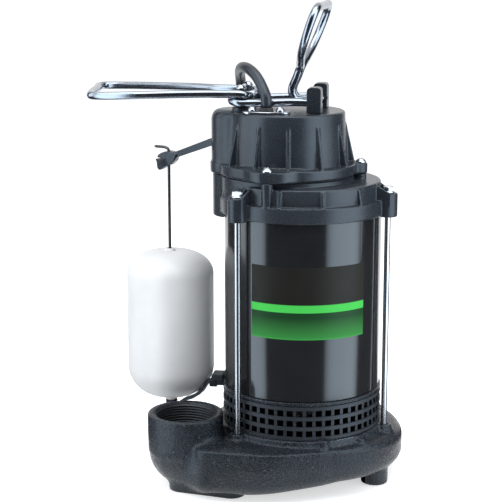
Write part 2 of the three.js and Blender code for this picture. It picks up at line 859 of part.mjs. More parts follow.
function motorCap() {
  const outside = join(
    turned([
      [0, rimZ],
      [rimRadius, rimZ],
      [rimRadius, rimTop - 0.8],
      [rimRadius - 0.8, rimTop],
      [tierRadius, rimTop],
      [tierRadius, tierTop - 1.5],
      [tierRadius - 1.5, tierTop],
      [0, tierTop],
    ], wide),
    cylinder(flangeRadius - 1.5, rimTop, collarZ, coverOffset, wide),
    cylinder(bulgeRadius - 1, rimZ - 5, collarZ, bulge),
    ...rodAngles.map(capLug),
    ...screwPosts(rimTop - 1, collarZ, coverLugRadius - 2.5, small),
    ...capRibs(),
  );
  const cavityFloor = capFloorZ + capFloor;
  const body = cut(
    join(
      cut(outside, cylinder(canRadius + seat, rimZ - 20, capFloorZ, [0, 0], wide)),
      cylinder(shaftRadius + bushWall + seat + 3, bushHigh - 2, capFloorZ + 1, [0, 0], 14),
    ),
    cylinder(coverHead - coverWall - 1, cavityFloor, collarZ + 5, coverOffset),
    cylinder(bulgeRadius - coverWall - 1, cavityFloor, collarZ + 5, bulge, 16),
    cylinder(shaftRadius + bushWall + seat, bushHigh - 10, capFloorZ, [0, 0], 14),
    ...rodAngles.map((angle) => cylinder(rodRadius + seat, lugZ - 5, lugTop + 10, polar(rodCircle, angle), small)),
    ...screwPosts(coverZ + flangeThickness - coverScrewLength - 1, collarZ + 5, coverScrewRadius + seat, small),
  );
  const postTop = switchTop - switchSize[2] - seat;
  return join(body, block(
    [switchSize[0] - 8, switchSize[1], postTop - cavityFloor + 1],
    [...switchPlan, (postTop + cavityFloor - 1) / 2],
    leverAngle,
  ));
}

place('motor_cap', motorCap(), blackPlastic);

// ---------------------------------------------------------------- tie rods
function tieRod() {
  const top = lugTop + seat;
  const low = seatZ - rodThread;
  const hexagon = [];
  for (let i = 0; i < 6; i += 1) hexagon.push(polar(hexAcross / Math.sqrt(3), 60 * i));
  return join(
    cylinder(rodRadius, low, top + 1, [0, 0], small),
    turned([
      [0, top],
      [hexFlangeRadius, top],
      [hexFlangeRadius, top + 0.6],
      [hexAcross / 2 - 0.2, top + 1.6],
      [0, top + 1.6],
    ], small),
    prism(hexagon, top + 1, top + hexHeight),
  );
}

rodAngles.forEach((angle, i) => {
  const mesh = place(`tie_rod_${i + 1}`, tieRod(), zinc);
  mesh.position.set(...polar(rodCircle, angle), 0);
});

// ---------------------------------------------------------------- switch cover
// Everything from here to the float switch is in the cover's frame, with z from its seat.
function dome(radius, round, low, high, at, sides, steps, foot = radius) {
  const outline = [[0, low], [foot, low]];
  for (let k = 0; k <= steps; k += 1) {
    const [c, s] = polar(round, (90 * k) / steps);
    outline.push([radius - round + c, high - round + s]);
  }
  outline.push([0, high]);
  return turned(outline, sides, at);
}

const coverLugs = coverScrewAngles.map((angle) => polar(coverScrewCircle, angle));
const pivotLocal = [leverSet, 0];
const armLocal = leverAngle - coverTurn;

function coverRibBodies() {
  const ribs = [];
  for (let i = 0; i < coverRibs; i += 1) {
    const angle = coverRibStart + (360 * i) / coverRibs;
    const fromBulge = Math.abs(180 - angle);
    if (fromBulge > 30) {
      ribs.push(upright([
        [coverHead - 4, flangeThickness - 1],
        [flangeRadius - 1.2, flangeThickness - 1],
        [coverHead + 0.9, coverHeight - coverRibDrop],
        [coverHead - 4, coverHeight - coverRibDrop],
      ], coverRibWidth, angle));
    }
  }
  return ribs;
}

// Two ears hang from the roof and carry the lever's pin.
function pivotEars() {
  const [nx, ny] = polar(1, armLocal + 90);
  return [-1, 1].map((side) => {
    const off = side * (earGap / 2 + earThickness / 2);
    const low = leverRise - 5;
    const high = coverHeight - 1;
    return block([9, earThickness, high - low], [leverSet + nx * off, ny * off, (low + high) / 2], armLocal);
  });
}

// A level pin across the arm, at a height over a plan point.
function crossPin(radius, length, [x, y], z, degrees) {
  const geometry = new THREE.CylinderGeometry(radius, radius, length, small);
  geometry.rotateZ(rad(degrees));
  geometry.translate(x, y, z);
  return solid(geometry);
}

// The slot lets the arm swing from rest to its upper stop.
function leverSlot() {
  const [inner, outer] = [2, 12];
  const half = leverRoot / 2 + slack + 0.6;
  const falls = leverDrop / leverReach;
  const rises = Math.tan(rad(leverLift) - armSlope);
  return upright([
    [inner, leverRise - half - inner * falls],
    [outer, leverRise - half - outer * falls],
    [outer, leverRise + half + outer * rises],
    [inner, leverRise + half + inner * rises],
  ], leverWidth + 2.4, armLocal, pivotLocal);
}

function switchCover() {
  const roof = coverHeight;
  const outside = join(
    dome(coverHead, coverRound, 0, roof, [0, 0], wide, 1, coverFoot),
    dome(bulgeRadius, bulgeRound, 0, roof + 0.6, [-bulgeReach, 0], middling, 3),
    turned([
      [0, 0],
      [flangeRadius, 0],
      [flangeRadius, flangeThickness - 0.8],
      [flangeRadius - 0.8, flangeThickness],
      [0, flangeThickness],
    ], wide),
    cylinder(bulgeRadius + 1, 0, flangeThickness, [-bulgeReach, 0]),
    ...coverLugs.map((at) => cylinder(coverLugRadius, 0, flangeThickness, at, small)),
    ...coverRibBodies(),
    ...[-1, 1].map((side) => cylinder(eyeBossRadius, roof - 3, roof + eyeBossHeight, [eyeSet, side * eyeAcross], 14)),
    ...[-1, 1].map((side) => cylinder(eyeSpigot, roof, eyeStackTop, [eyeSet, side * eyeAcross], small)),
  );
  const hollow = join(
    cylinder(coverHead - coverWall, -5, roof - coverWall),
    cylinder(bulgeRadius - coverWall, -5, roof - coverWall, [-bulgeReach, 0], 16),
  );
  const shell = join(cut(outside, hollow), ...pivotEars());
  return cut(
    shell,
    leverSlot(),
    crossPin(leverPin + seat, earGap + 2 * earThickness + 2, pivotLocal, leverRise, armLocal),
    ...coverLugs.map((at) => cylinder(coverScrewRadius + seat, -5, flangeThickness + 20, at, small)),
    ...[-1, 1].map((side) =>
      cylinder(handleScrewRadius + seat, roof - coverWall + 1, eyeStackTop + 5, [eyeSet, side * eyeAcross], 10)),
    cylinder(glandRadius + seat, roof - coverWall - 5, roof + 5, cordPlateSet, 14),
    ...[-1, 1].map((side) =>
      cylinder(cordScrewRadius + seat, roof - coverWall + 1, roof + 5, [cordPlateSet[0] + side * cordScrewSet, cordPlateSet[1]], 10)),
  );
}

// The eye is one full turn that climbs by a little more than the wire's thickness.
const eyeClimb = 2 * wireRadius + 0.5;
const eyeBossHeight = 3.6;
const eyeLowZ = coverHeight + eyeBossHeight + seat + wireRadius;
const eyeHighZ = eyeLowZ + eyeClimb;
const eyeSpigot = eyeRadius - wireRadius - 0.8;
const eyeStackTop = eyeHighZ + wireRadius + 0.2;

place('switch_cover', switchCover(), blackPlastic, head);

function coverGasket() {
  const high = -seat;
  const low = high - gasketThickness;
  const outer = join(
    cylinder(flangeRadius - 2, low, high),
    cylinder(bulgeRadius - 1.5, low, high, [-bulgeReach, 0], 16),
  );
  const inner = join(
    cylinder(coverHead - coverWall - 0.5, low - 5, high + 5),
    cylinder(bulgeRadius - coverWall - 0.5, low - 5, high + 5, [-bulgeReach, 0], 16),
  );
  return cut(outer, inner);
}

place('cover_gasket', coverGasket(), rubber, head);

function panScrew(shank, length, under, headRadius = panHeadRadius) {
  return turned([
    [0, under - length],
    [shank, under - length],
    [shank, under],
    [headRadius, under],
    [headRadius, under + panHeadHeight * 0.55],
    [headRadius * 0.6, under + panHeadHeight],
    [0, under + panHeadHeight],
  ], 10);
}

coverLugs.forEach((at, i) => {
  const screw = place(`cover_screw_${i + 1}`, panScrew(coverScrewRadius, coverScrewLength, flangeThickness + seat), zinc, head);
  screw.position.set(...at, 0);
});

// ---------------------------------------------------------------- handle
// One bent wire: side grip, an eye round each screw, two bars, and an upright grip
// that grows out of the bars' return ends. Side is -1 at the front and 1 at the rear.
function handlePoints(side) {
  const line = eyeAcross + eyeRadius;
  const high = eyeHighZ;
  const low = eyeLowZ;
  const roof = coverHeight;
  const at = (x, y, z) => new THREE.Vector3(x, side * y, z);
  const reach = gripReach + side * gripSkew;
  const points = [
    at(-gripReach - side * 0.2, -0.4, high - 1),
    at(-gripReach - side * gripSkew * 0.45, gripHalf * 0.45, high - 1),
    at(-reach, gripHalf - 9, high - 1),
    at(-reach + 3, gripHalf - 2, high - 1),
    at(-reach + 10, gripHalf, high - 1),
    at(-reach + 35, gripHalf - 3, high - 0.5),
    at(eyeSet - 50, line + 9.5, high),
    at(eyeSet - 28, line + 2.5, high),
    at(eyeSet - 14, line + 0.3, high),
  ];
  const turns = 16;
  for (let k = 0; k <= turns; k += 1) {
    const angle = 90 - (360 * k) / turns;
    const [c, s] = polar(eyeRadius, angle);
    points.push(at(eyeSet + c, eyeAcross + s, high - (eyeClimb * k) / turns));
  }
  const turnX = clipSet - 3.5;
  const barZ = low + 1.5;
  points.push(
    at(eyeSet + 16, line, low + 0.3),
    at(clipSet - clipLength / 2 - 8, line, barZ),
  );
  for (let k = 0; k <= 6; k += 1) {
    const [c, s] = polar(returnBend, 90 - 30 * k);
    points.push(at(turnX + c, line - returnBend + s, barZ));
  }
  points.push(at(12, 6.6, barZ), at(6.5, 4.6, barZ + 1));
  const neck = wireRadius + 0.9;
  const lean = (rise) => 3.2 + 0.36 * (rise - 15);
  const stations = [
    [16, neck],
    [27, neck],
    [34, neck + 1.2],
    [39, uprightHalf * 0.36],
    [47, uprightHalf * 0.7],
    [58, uprightHalf * 0.93],
    [uprightHeight - 11, uprightHalf + 1],
    [uprightHeight - 3.5, uprightHalf - 2],
    [uprightHeight, uprightHalf - 9],
    [uprightHeight, uprightHalf * 0.4],
    [uprightHeight, -0.4],
  ];
  for (const [rise, half] of stations) points.push(at(lean(rise), half, roof + rise));
  return points;
}

const handleSides = [-1, 1].map((side) => (radius) => bentRod(thinned(handlePoints(side), 23, 60), radius, 8));
const handleWire = join(...handleSides.map((make) => make(wireRadius)));
place('handle_wire', handleWire, zinc, head);

// Each bar's turned end lies in a moulded clip on the cover's roof.
function handleClip(side) {
  const low = coverHeight + seat;
  const half = clipLength / 2;
  const round = 3;
  const shape = new THREE.Shape();
  shape.moveTo(-half, low);
  shape.lineTo(half, low);
  shape.lineTo(half, low + clipHeight - round);
  shape.absarc(half - round, low + clipHeight - round, round, 0, Math.PI / 2);
  shape.absarc(-half + round, low + clipHeight - round, round, Math.PI / 2, Math.PI);
  shape.closePath();
  const geometry = new THREE.ExtrudeGeometry(shape, { depth: clipWidth, bevelEnabled: false, curveSegments: 2 });
  geometry.rotateX(Math.PI / 2);
  geometry.translate(clipSet, side * clipAcross + clipWidth / 2, 0);
  const make = handleSides[side < 0 ? 0 : 1];
  return cut(solid(geometry), make(wireRadius + seat + cornerRelief));
}

place('handle_clip_front', handleClip(-1), blackPlastic, head);
place('handle_clip_rear', handleClip(1), blackPlastic, head);

[['front', -1], ['rear', 1]].forEach(([end, side]) => {
  const under = eyeStackTop + seat;
  const screw = place(`handle_screw_${end}`, panScrew(handleScrewRadius, under - coverHeight, under), zinc, head);
  screw.position.set(eyeSet, side * eyeAcross, 0);
});

// ---------------------------------------------------------------- cord
const platePlan = [-1, 1].map((side) => [cordPlateSet[0] + side * (cordPlateLength - cordPlateWidth) / 2, cordPlateSet[1]]);
const plateTop = coverHeight + seat + cordPlateThickness;

function cordPlate() {
  return cut(
    stadium(...platePlan, cordPlateWidth / 2, coverHeight + seat, plateTop),
    cylinder(glandRadius + seat, coverHeight - 5, plateTop + 5, cordPlateSet, 14),
    ...[-1, 1].map((side) =>
      cylinder(cordScrewRadius + seat, coverHeight - 5, plateTop + 5, [cordPlateSet[0] + side * cordScrewSet, cordPlateSet[1]], 10)),
  );
}

place('cord_plate', cordPlate(), zinc, head);
[-1, 1].forEach((side, i) => {
  const screw = place(`cord_plate_screw_${i + 1}`, panScrew(cordScrewRadius, coverWall + 0.5, plateTop + seat, cordHeadRadius), zinc, head);
  screw.position.set(cordPlateSet[0] + side * cordScrewSet, cordPlateSet[1], 0);
});

// A tapered rubber gland, most of it inside the cover.
const glandTop = plateTop + glandAbove;
place('cord_gland', turned([
  [cordRadius - 1, coverHeight - glandBelow],
  [glandRadius - 1.6, coverHeight - glandBelow],
  [glandRadius, coverHeight - coverWall - 4],
  [glandRadius, plateTop + 0.6],
  [cordRadius + 0.9, glandTop],
  [cordRadius - 1, glandTop],
  [cordRadius - 1, coverHeight - glandBelow],
], 14, cordPlateSet), rubber, head);

// The free stretch: out of the gland, over the handle's rear eye, down behind the motor
// and along the floor into the coil. The points are in the pump's frame.
const cordStart = [...coverPoint(...cordPlateSet), coverZ + glandTop + seat];
const coilOuter = coilMean + (coilPitch * coilTurns) / 2;
const coilStart = [coilCentre[0] - coilOuter, coilCentre[1], cordRest];
const cordRoute = [
  cordStart,
  [cordStart[0], cordStart[1], 314.5],
  [-33.2, -20.6, 322.5],
  [-37.6, -13.2, 330],
  [-43.2, -3, 334.8],
  [-47.6, 9, 335.6],
  [-50.2, 22, 333.4],
  [-50.8, 33, 328.6],
  [-50.3, 41.6, 321],
  [-49.6, 47.4, 311],
  [-49, 51.2, 299],
  [-48.6, 54.4, 284],
  [-48.6, 57.4, 266],
  [-49, 61.4, 240],
  [-50, 66.5, 205],
  [-51.5, 72.5, 168],
  [-53.5, 78.5, 130],
  [-55.5, 84.5, 95],
  [-57.5, 91, 62],
  [-59, 99.5, 35],
  [-59.6, 110, 16],
  [coilStart[0] - 0.1, 122, 7],
  [coilStart[0], 134, 4.7],
  [coilStart[0], coilStart[1] - 12, cordRest],
  [coilStart[0], coilStart[1] - 9.2, cordRest],
].map((point) => new THREE.Vector3(...point));
place('mains_cord', tube(cordRoute, cordRadius, 42, 8), rubber);

// The stored length: a flat spiral inwards on the floor, a climb, and the same spiral back out.
function coilPath() {
  const stepsPerTurn = 24;
  const total = 2 * coilTurns * stepsPerTurn;
  const points = [new THREE.Vector3(coilStart[0], coilStart[1] - 8.9, cordRest)];
  for (let k = 0; k <= total; k += 1) {
    const turn = k / stepsPerTurn;
    const inward = Math.min(turn, 2 * coilTurns - turn);
    const radius = coilOuter - coilPitch * inward;
    const climb = THREE.MathUtils.smoothstep(turn, coilTurns - 0.25, coilTurns + 0.25);
    const [x, y] = polar(radius, 180 - 360 * turn);
    points.push(new THREE.Vector3(coilCentre[0] + x, coilCentre[1] + y, cordRest + coilPitch * climb));
  }
  const last = points[points.length - 1];
  points.push(new THREE.Vector3(last.x, last.y - coilTail, last.z));
  return points;
}

// The least distance between stretches of the path that lie over half a turn apart.
function leastGap(points, apart, diameter) {
  let least = Infinity;
  for (let i = 0; i < points.length; i += 1) {
    for (let j = i + apart; j < points.length; j += 1) {
      least = Math.min(least, points[i].distanceTo(points[j]));
    }
  }
  return least - diameter;
}

const coil = coilPath();
place('cord_coil', bentRod(coil, cordRadius, 6), rubber);

const pathLength = (points) => points.slice(1).reduce((sum, point, i) => sum + point.distanceTo(points[i]), 0);
const freeLength = new THREE.CatmullRomCurve3(cordRoute, false, 'centripetal').getLength();
console.log(`cord: ${(freeLength + pathLength(coil)).toFixed(0)} mm, of it ${freeLength.toFixed(0)} mm free`);
console.log(`coil: least gap to itself ${leastGap(coil, 13, 2 * cordRadius).toFixed(2)} mm`);

// The plug lies on the floor at the coil's end, its blades towards the pump.
function plug() {
  const end = coil[coil.length - 1];
  const start = end.y - seat;
  const half = plugWidth / 2;
  const station = (y, w) => {
    const ringPoints = [];
    for (let i = 0; i < 12; i += 1) {
      const [c, s] = polar(1, (360 * i) / 12);
      const square = Math.min(1 / Math.max(Math.abs(c), Math.abs(s)), 1.22);
      const swell = w > cordRadius + 4 ? square : 1;
      ringPoints.push(new THREE.Vector3(end.x + c * w * swell * 0.92, y, end.z + s * w * Math.min(swell, 1.02)));
    }
    return ringPoints;
  };
  const neckEnd = start - plugNeck;
  const body = solid(skin([
    station(start, cordRadius + 1),
    station(neckEnd, cordRadius + 2.2),
    station(neckEnd - 3, half * 0.86),
    station(neckEnd - 7, half),
    station(neckEnd - plugLength + 1.5, half),
    station(neckEnd - plugLength, half * 0.93),
  ]));
  const face = neckEnd - plugLength + 1;
  const blade = (x) => block([1.5, bladeLength, 6.3], [end.x + x, face - bladeLength / 2, end.z + 3]);
  const pin = new THREE.CylinderGeometry(2.4, 2.4, bladeLength + 2, 12);
  pin.translate(end.x, face - bladeLength / 2 - 1, end.z - 6);
  return join(body, blade(-6.35), blade(6.35), solid(pin));
}

place('cord_plug', plug(), rubber);

// ---------------------------------------------------------------- float switch
const armNormal = polar(1, leverAngle + 90);
const armPoint = (reach, z) => [pivot[0] + armPlan[0] * reach, pivot[1] + armPlan[1] * reach, z];

// The hole for the float rod is open along the arm as far as the rod leans in it.
function rodPassage() {
  const half = floatRodRadius + slack;
  const lean = Math.tan(rad(leverLift)) * (leverBall + 1);
  const reach = leverReach;
  const z = rodTopPoint[2];
  const tall = leverBall + 1;
  return upright([
    [reach - half - lean, z - tall],
    [reach + half, z - tall],
    [reach + half, z],
    [reach + half + lean, z + tall],
    [reach - half, z + tall],
    [reach - half, z],
  ], 2 * half, leverAngle, [pivot[0], pivot[1]]);
}

function switchLever() {
  const z = pivot[2];
  const slope = leverDrop / leverReach;
  const arm = upright([
    [-leverTail, z + leverTail * slope - 2.4],
    [0, z - leverRoot / 2],
    [leverReach, z - leverDrop - leverTip / 2],
    [leverReach, z - leverDrop + leverTip / 2],
    [0, z + leverRoot / 2],
    [-leverTail, z + leverTail * slope + 2.4],
  ], leverWidth, leverAngle, [pivot[0], pivot[1]]);
  const hub = crossPin(leverRoot / 2 + 0.4, earGap - 2 * slack, pivot, z, leverAngle);
  const ball = sphere(leverBall, rodTopPoint, small);
  return cut(
    join(arm, hub, ball),
    crossPin(leverPin + seat, earGap + 4, pivot, z, leverAngle),
    rodPassage(),
  );
}

place('switch_lever', switchLever(), blackPlastic);
place('lever_pin', crossPin(leverPin, earGap + 2 * earThickness, pivot, pivot[2], leverAngle), steel);

function microSwitch() {
  const [length, width, height] = switchSize;
  const plungerHigh = switchTop + plungerRise;
  const top = switchTop;
  const [x, y] = armPoint(-leverTail + 3, 0);
  const [bx, by] = switchPlan;
  return join(
    block([length, width, height], [bx, by, top - height / 2], leverAngle),
    cylinder(1.6, top - 1, plungerHigh, [x, y], 12),
  );
}

place('micro_switch', microSwitch(), rubber);

// The float rod hangs from the ball by its bent top end and runs down through the guide.
function floatRod() {
  const [x, y, z] = rodTopPoint;
  const hookZ = z + leverBall + seat + floatRodRadius;
  const bend = 3;
  const points = [
    new THREE.Vector3(x, y, rodEnd),
    new THREE.Vector3(x, y, z),
    new THREE.Vector3(x, y, hookZ - bend),
    new THREE.Vector3(x + armPlan[0] * bend * 0.3, y + armPlan[1] * bend * 0.3, hookZ - bend * 0.3),
    new THREE.Vector3(x + armPlan[0] * bend, y + armPlan[1] * bend, hookZ),
    new THREE.Vector3(x + armPlan[0] * hookLength, y + armPlan[1] * hookLength, hookZ + 0.4),
  ];
  return bentRod(points, floatRodRadius, 8, new THREE.Vector3(armNormal[0], armNormal[1], 0));
}

place('float_rod', floatRod(), steel);

function rodStop() {
  const high = floatBottom - seat;
  const [x, y] = rodTopPoint;
  return ring(stopRadius, floatRodRadius + seat, high - stopHeight, high, [x, y], 16);
}

place('rod_stop', rodStop(), rubber);

function floatBody() {
  const [x, y] = rodTopPoint;
  const hole = floatRodRadius + slack;
  const top = floatBottom + floatLength;
  const outline = [[hole, floatBottom + 0.8]];
  const flat = floatRadius - floatRound;
  for (let k = 0; k <= 4; k += 1) {
    const [c, s] = polar(floatRound, -90 + 22.5 * k);
    outline.push([flat + c * 0.985, floatBottom + floatRound + s]);
  }
  outline.push([floatRadius, floatBottom + floatLength * 0.5]);
  for (let k = 0; k <= 4; k += 1) {
    const [c, s] = polar(floatRound, 22.5 * k);
    outline.push([flat + c, top - floatRound + s]);
  }
  outline.push([hole, top]);
  outline.push([hole, floatBottom + 0.8]);
  return turned(outline, 26, [x, y]);
}

place('float', floatBody(), whitePlastic);

// The float's underside at a distance from the float rod.
function floatUnderside(distance) {
  const past = Math.min(Math.max(distance - (floatRadius - floatRound), 0), floatRound);
  return floatBottom + floatRound - Math.sqrt(floatRound * floatRound - past * past);
}

// The guide sits under the strainer's lug. Its arm falls clear of the float's shoulder
// to an eye round the rod.
function floatGuide() {
  const [x, y] = rodTopPoint;
  const near = canRadius + seat + lugDepth + seat;
  const clamp = polar(near, guideClampAngle);
  const reach = Math.hypot(x - clamp[0], y - clamp[1]);
  const direction = THREE.MathUtils.radToDeg(Math.atan2(y - clamp[1], x - clamp[0]));
  const blockTop = guideClampTop - lugLedge - seat;
  const blockLow = blockTop - guideHeight;
  const low = guideTop - guideHeight;
  const top = [];
  const under = [];
  for (const r of [5, 10, 15, 21, 28]) {
    const z = Math.max(floatUnderside(reach - r) - 2.5, guideTop);
    top.push([r, Math.min(z, blockTop)]);
    under.unshift([r - 3, Math.max(Math.min(z - guideHeight - 1, blockLow), low)]);
  }
  const outline = [[1.5, blockTop], ...top, [reach, guideTop], [reach, low], ...under, [1.5, blockLow]];
  const away = [x + armPlan[0] * rodTravel, y + armPlan[1] * rodTravel];
  return cut(
    join(
      upright(outline, 4.5, direction, clamp),
      block([guideGrip, lugWidth - 1, guideHeight], [...polar(near + guideGrip / 2, guideClampAngle), blockTop - guideHeight / 2], guideClampAngle),
      stadium([x, y], away, guideEyeRadius, low, guideTop),
    ),
    stadium([x, y], away, floatRodRadius + slack, low - 5, guideTop + 5),
  );
}

place('float_guide', floatGuide(), blackPlastic);

// ---------------------------------------------------------------- origin
// The part's origin is under the middle of its outline, the cord and plug left out.
const cordNames = ['mains_cord', 'cord_coil', 'cord_plug'];
pump.updateMatrixWorld(true);
const outline = new THREE.Box3();
pump.traverse((item) => {
  if (item.isMesh && !cordNames.includes(item.name)) outline.expandByObject(item, true);
});
const middle = outline.getCenter(new THREE.Vector3());
pump.position.set(-middle.x, -middle.y, -outline.min.z);
console.log(`motor axis at ${pump.position.toArray().map((v) => v.toFixed(3))}`);

export default pump;
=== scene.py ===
"""A submersible sump pump with a float-rod switch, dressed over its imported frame.

Lengths below are millimetres, measured from the motor's axis and the floor, unless a
comment says otherwise. placed() turns them into metres in the row frame.
"""

import math

import bpy
import numpy as np
import openvdb as vdb
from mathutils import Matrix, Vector


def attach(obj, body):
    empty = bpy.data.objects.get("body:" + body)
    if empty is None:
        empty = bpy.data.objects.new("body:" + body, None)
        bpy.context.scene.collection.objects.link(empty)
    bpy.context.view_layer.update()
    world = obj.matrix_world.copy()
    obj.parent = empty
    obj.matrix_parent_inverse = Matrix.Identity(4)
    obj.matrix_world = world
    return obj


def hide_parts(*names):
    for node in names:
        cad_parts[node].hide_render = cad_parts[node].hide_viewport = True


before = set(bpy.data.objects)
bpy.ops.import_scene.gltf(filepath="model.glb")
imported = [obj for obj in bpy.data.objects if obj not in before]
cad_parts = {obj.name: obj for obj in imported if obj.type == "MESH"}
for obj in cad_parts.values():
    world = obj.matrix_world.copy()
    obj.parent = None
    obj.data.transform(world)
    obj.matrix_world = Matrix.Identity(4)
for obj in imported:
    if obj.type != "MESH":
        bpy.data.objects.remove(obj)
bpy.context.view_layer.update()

MM = 0.001
MOTOR_AXIS = np.array((43.907, -1.5, 0.0))

# ---------------------------------------------------------------- camera
camera_data = bpy.data.cameras.new("camera")
camera_data.lens = 102.69
camera_data.sensor_width = 36.0
camera_data.clip_start = 0.05
camera_data.clip_end = 60.0
camera = bpy.data.objects.new("camera", camera_data)
camera.location = (0.0020, -1.1389, 0.4275)
camera.rotation_euler = (math.radians(78.1), 0.0, 0.0)
bpy.context.scene.collection.objects.link(camera)
bpy.context.scene.camera = camera
bpy.context.scene.view_settings.view_transform = "Standard"

# ---------------------------------------------------------------- sizes
CLEAR = 0.3
FOOT_UNDER, DECK, SEAT = 14.0, 44.0, 48.5
FOOT_CIRCLE, FOOT_ANGLES, FOOT_RADIUS = 64.5, (-23.5, 101.5), 11.0
FRONT_FOOT_END, FRONT_FOOT_HALF = (-57.5, -54.5), 11.3
BODY_CENTRE, BODY_RADIUS = (4.0, 6.0), 80.0
CHAMBER_FLOOR, CHAMBER_RADIUS, LEDGE, LEDGE_RADIUS = 20.0, 53.0, 44.2, 57.0
STRAINER_LOW, STRAINER_TOP, STRAINER_RADIUS, STRAINER_WALL = 48.8, 75.9, 64.8, 3.0
WEB_SET_BACK = 1.1
PLATE_LOW, PLATE_TOP, BEARING_ROOM = 76.2, 79.2, 10.3
CAN_LOW, CAN_TOP, CAN_RADIUS, CAN_WALL = 79.5, 227.8, 63.5, 1.6
RIM_LOW, RIM_TOP, TIER_TOP, COLLAR = 221.8, 234.0, 247.6, 251.3
RIM_RADIUS, TIER_RADIUS = 66.8, 62.3
WELL_FLOOR, WELL_WALL = 236.1, 4.5
ROD_ANGLES, ROD_CIRCLE, ROD_RADIUS = (-138.5, -18.5, 101.5), 70.0, 2.4
LUG_LOW, LUG_TOP, LUG_RADIUS = 220.6, 239.6, 7.6
COVER_AT, COVER_TURN, COVER_LOW = (-12.5, 1.0), -10.0, 252.4
FLANGE_RADIUS, FLANGE_THICK = 55.0, 8.3
COVER_FOOT, COVER_HEAD, COVER_HEIGHT, COVER_WALL = 48.0, 45.5, 50.0, 3.5
BULGE_REACH, BULGE_RADIUS = 40.3, 21.5
COVER_SCREWS, SCREW_CIRCLE, SCREW_RADIUS = (7, -97, 97, 150), 58.5, 2.0
# The flange's lobe round each screw: (its middle's reach, its radius).
FLANGE_LOBES = ((57.5, 6.4), (42.0, 21.5), (57.5, 6.4), (57.5, 6.4))
OUTLET_TOP, OUTLET_RADIUS, OUTLET_BORE, OUTLET_THROAT = 62.0, 30.5, 24.4, 21.0
ELBOW_Z, ELBOW_RADIUS = 31.0, 29.0
EYE_SET, EYE_ACROSS, EYE_RADIUS, WIRE_RADIUS = -35.2, 15.0, 7.5, 3.2
EYE_LOW, EYE_HIGH = 57.1, 64.0
GRIP_REACH, GRIP_HALF, GRIP_SKEW = 158.5, 44.0, 6.5
CLIP_SET, CLIP_ACROSS = 22.8, 20.0
CORD_RADIUS = 4.25
CORD_PLATE_AT, CORD_PLATE_LONG, CORD_PLATE_WIDE, CORD_HOLE = (-12.5, -30.6), 38.0, 14.5, 5.9
PLATE_SCREW_SET, PLATE_SCREW_RADIUS = 11.0, 1.6
PIVOT_SET, LEVER_RISE, LEVER_ANGLE, LEVER_SWING = -52.3, 26.7, 155.4, 22.0
LEVER_REACH, LEVER_DROP, CLIP_RISE = 50.0, 19.0, 6.6
GUIDE_ANGLE, GUIDE_LOW, GUIDE_TOP = 171.0, 40.0, 46.0
SWITCH_ROD_RADIUS, SWITCH_ROD_SLOT = 1.2, 1.9
FLOAT_LOW, FLOAT_BASE, FLOAT_HEAD, FLOAT_TOP, FLOAT_RADIUS = 53.0, 57.0, 182.0, 184.0, 36.3
# The float's quarter ellipses, below and above its straight side: (across, up).
FLOAT_UNDER, FLOAT_OVER = (30.0, 27.0), (27.0, 19.0)


def polar(radius, degrees):
    """x = radius cos a, y = radius sin a."""
    a = math.radians(degrees)
    return np.array((radius * math.cos(a), radius * math.sin(a)))


OUTLET = polar(100.0, 198.5)


def from_cover(points):
    """Points in the cover's own frame, turned about the vertical and moved to the pump."""
    points = np.atleast_2d(np.asarray(points, float))
    c, s = polar(1.0, COVER_TURN)
    x, y, z = points.T
    return np.stack([COVER_AT[0] + x * c - y * s, COVER_AT[1] + x * s + y * c, COVER_LOW + z], 1)


def on_cover(shape):
    """A shape moved the same way."""
    points, faces = shape
    return from_cover(points), faces


PIVOT = from_cover([(PIVOT_SET, 0, LEVER_RISE)])[0]
ARM = np.array((*polar(1.0, LEVER_ANGLE), 0.0))
ROD_TOP = PIVOT + ARM * LEVER_REACH - np.array((0, 0, LEVER_DROP))


def placed(points):
    """Millimetres from the motor's axis to metres in the row frame."""
    return (np.asarray(points, float) + MOTOR_AXIS) * MM


# ---------------------------------------------------------------- meshes
def signed_volume(points, faces):
    """Sum over the faces' fans of the box product of their corners, over six."""
    total = 0.0
    for block in faces:
        corner = points[block]
        for k in range(1, block.shape[1] - 1):
            total += np.einsum("ij,ij->i", corner[:, 0], np.cross(corner[:, k], corner[:, k + 1])).sum()
    return total / 6


def mesh_of(name, points, faces):
    """A mesh from a point array and blocks of faces with equal corner counts."""
    faces = [np.asarray(block, np.int32) for block in faces if len(block)]
    if signed_volume(points, faces) < 0:
        faces = [block[:, ::-1] for block in faces]
    mesh = bpy.data.meshes.new(name)
    mesh.vertices.add(len(points))
    mesh.vertices.foreach_set("co", np.ascontiguousarray(points, np.float32).ravel())
    corners = np.concatenate([block.ravel() for block in faces])
    counts = np.concatenate([np.full(len(block), block.shape[1], np.int32) for block in faces])
    mesh.loops.add(len(corners))
    mesh.loops.foreach_set("vertex_index", corners)
    mesh.polygons.add(len(counts))
    mesh.polygons.foreach_set("loop_start", np.concatenate([[0], np.cumsum(counts)[:-1]]).astype(np.int32))
    mesh.update(calc_edges=True)
    mesh.validate()
    return mesh


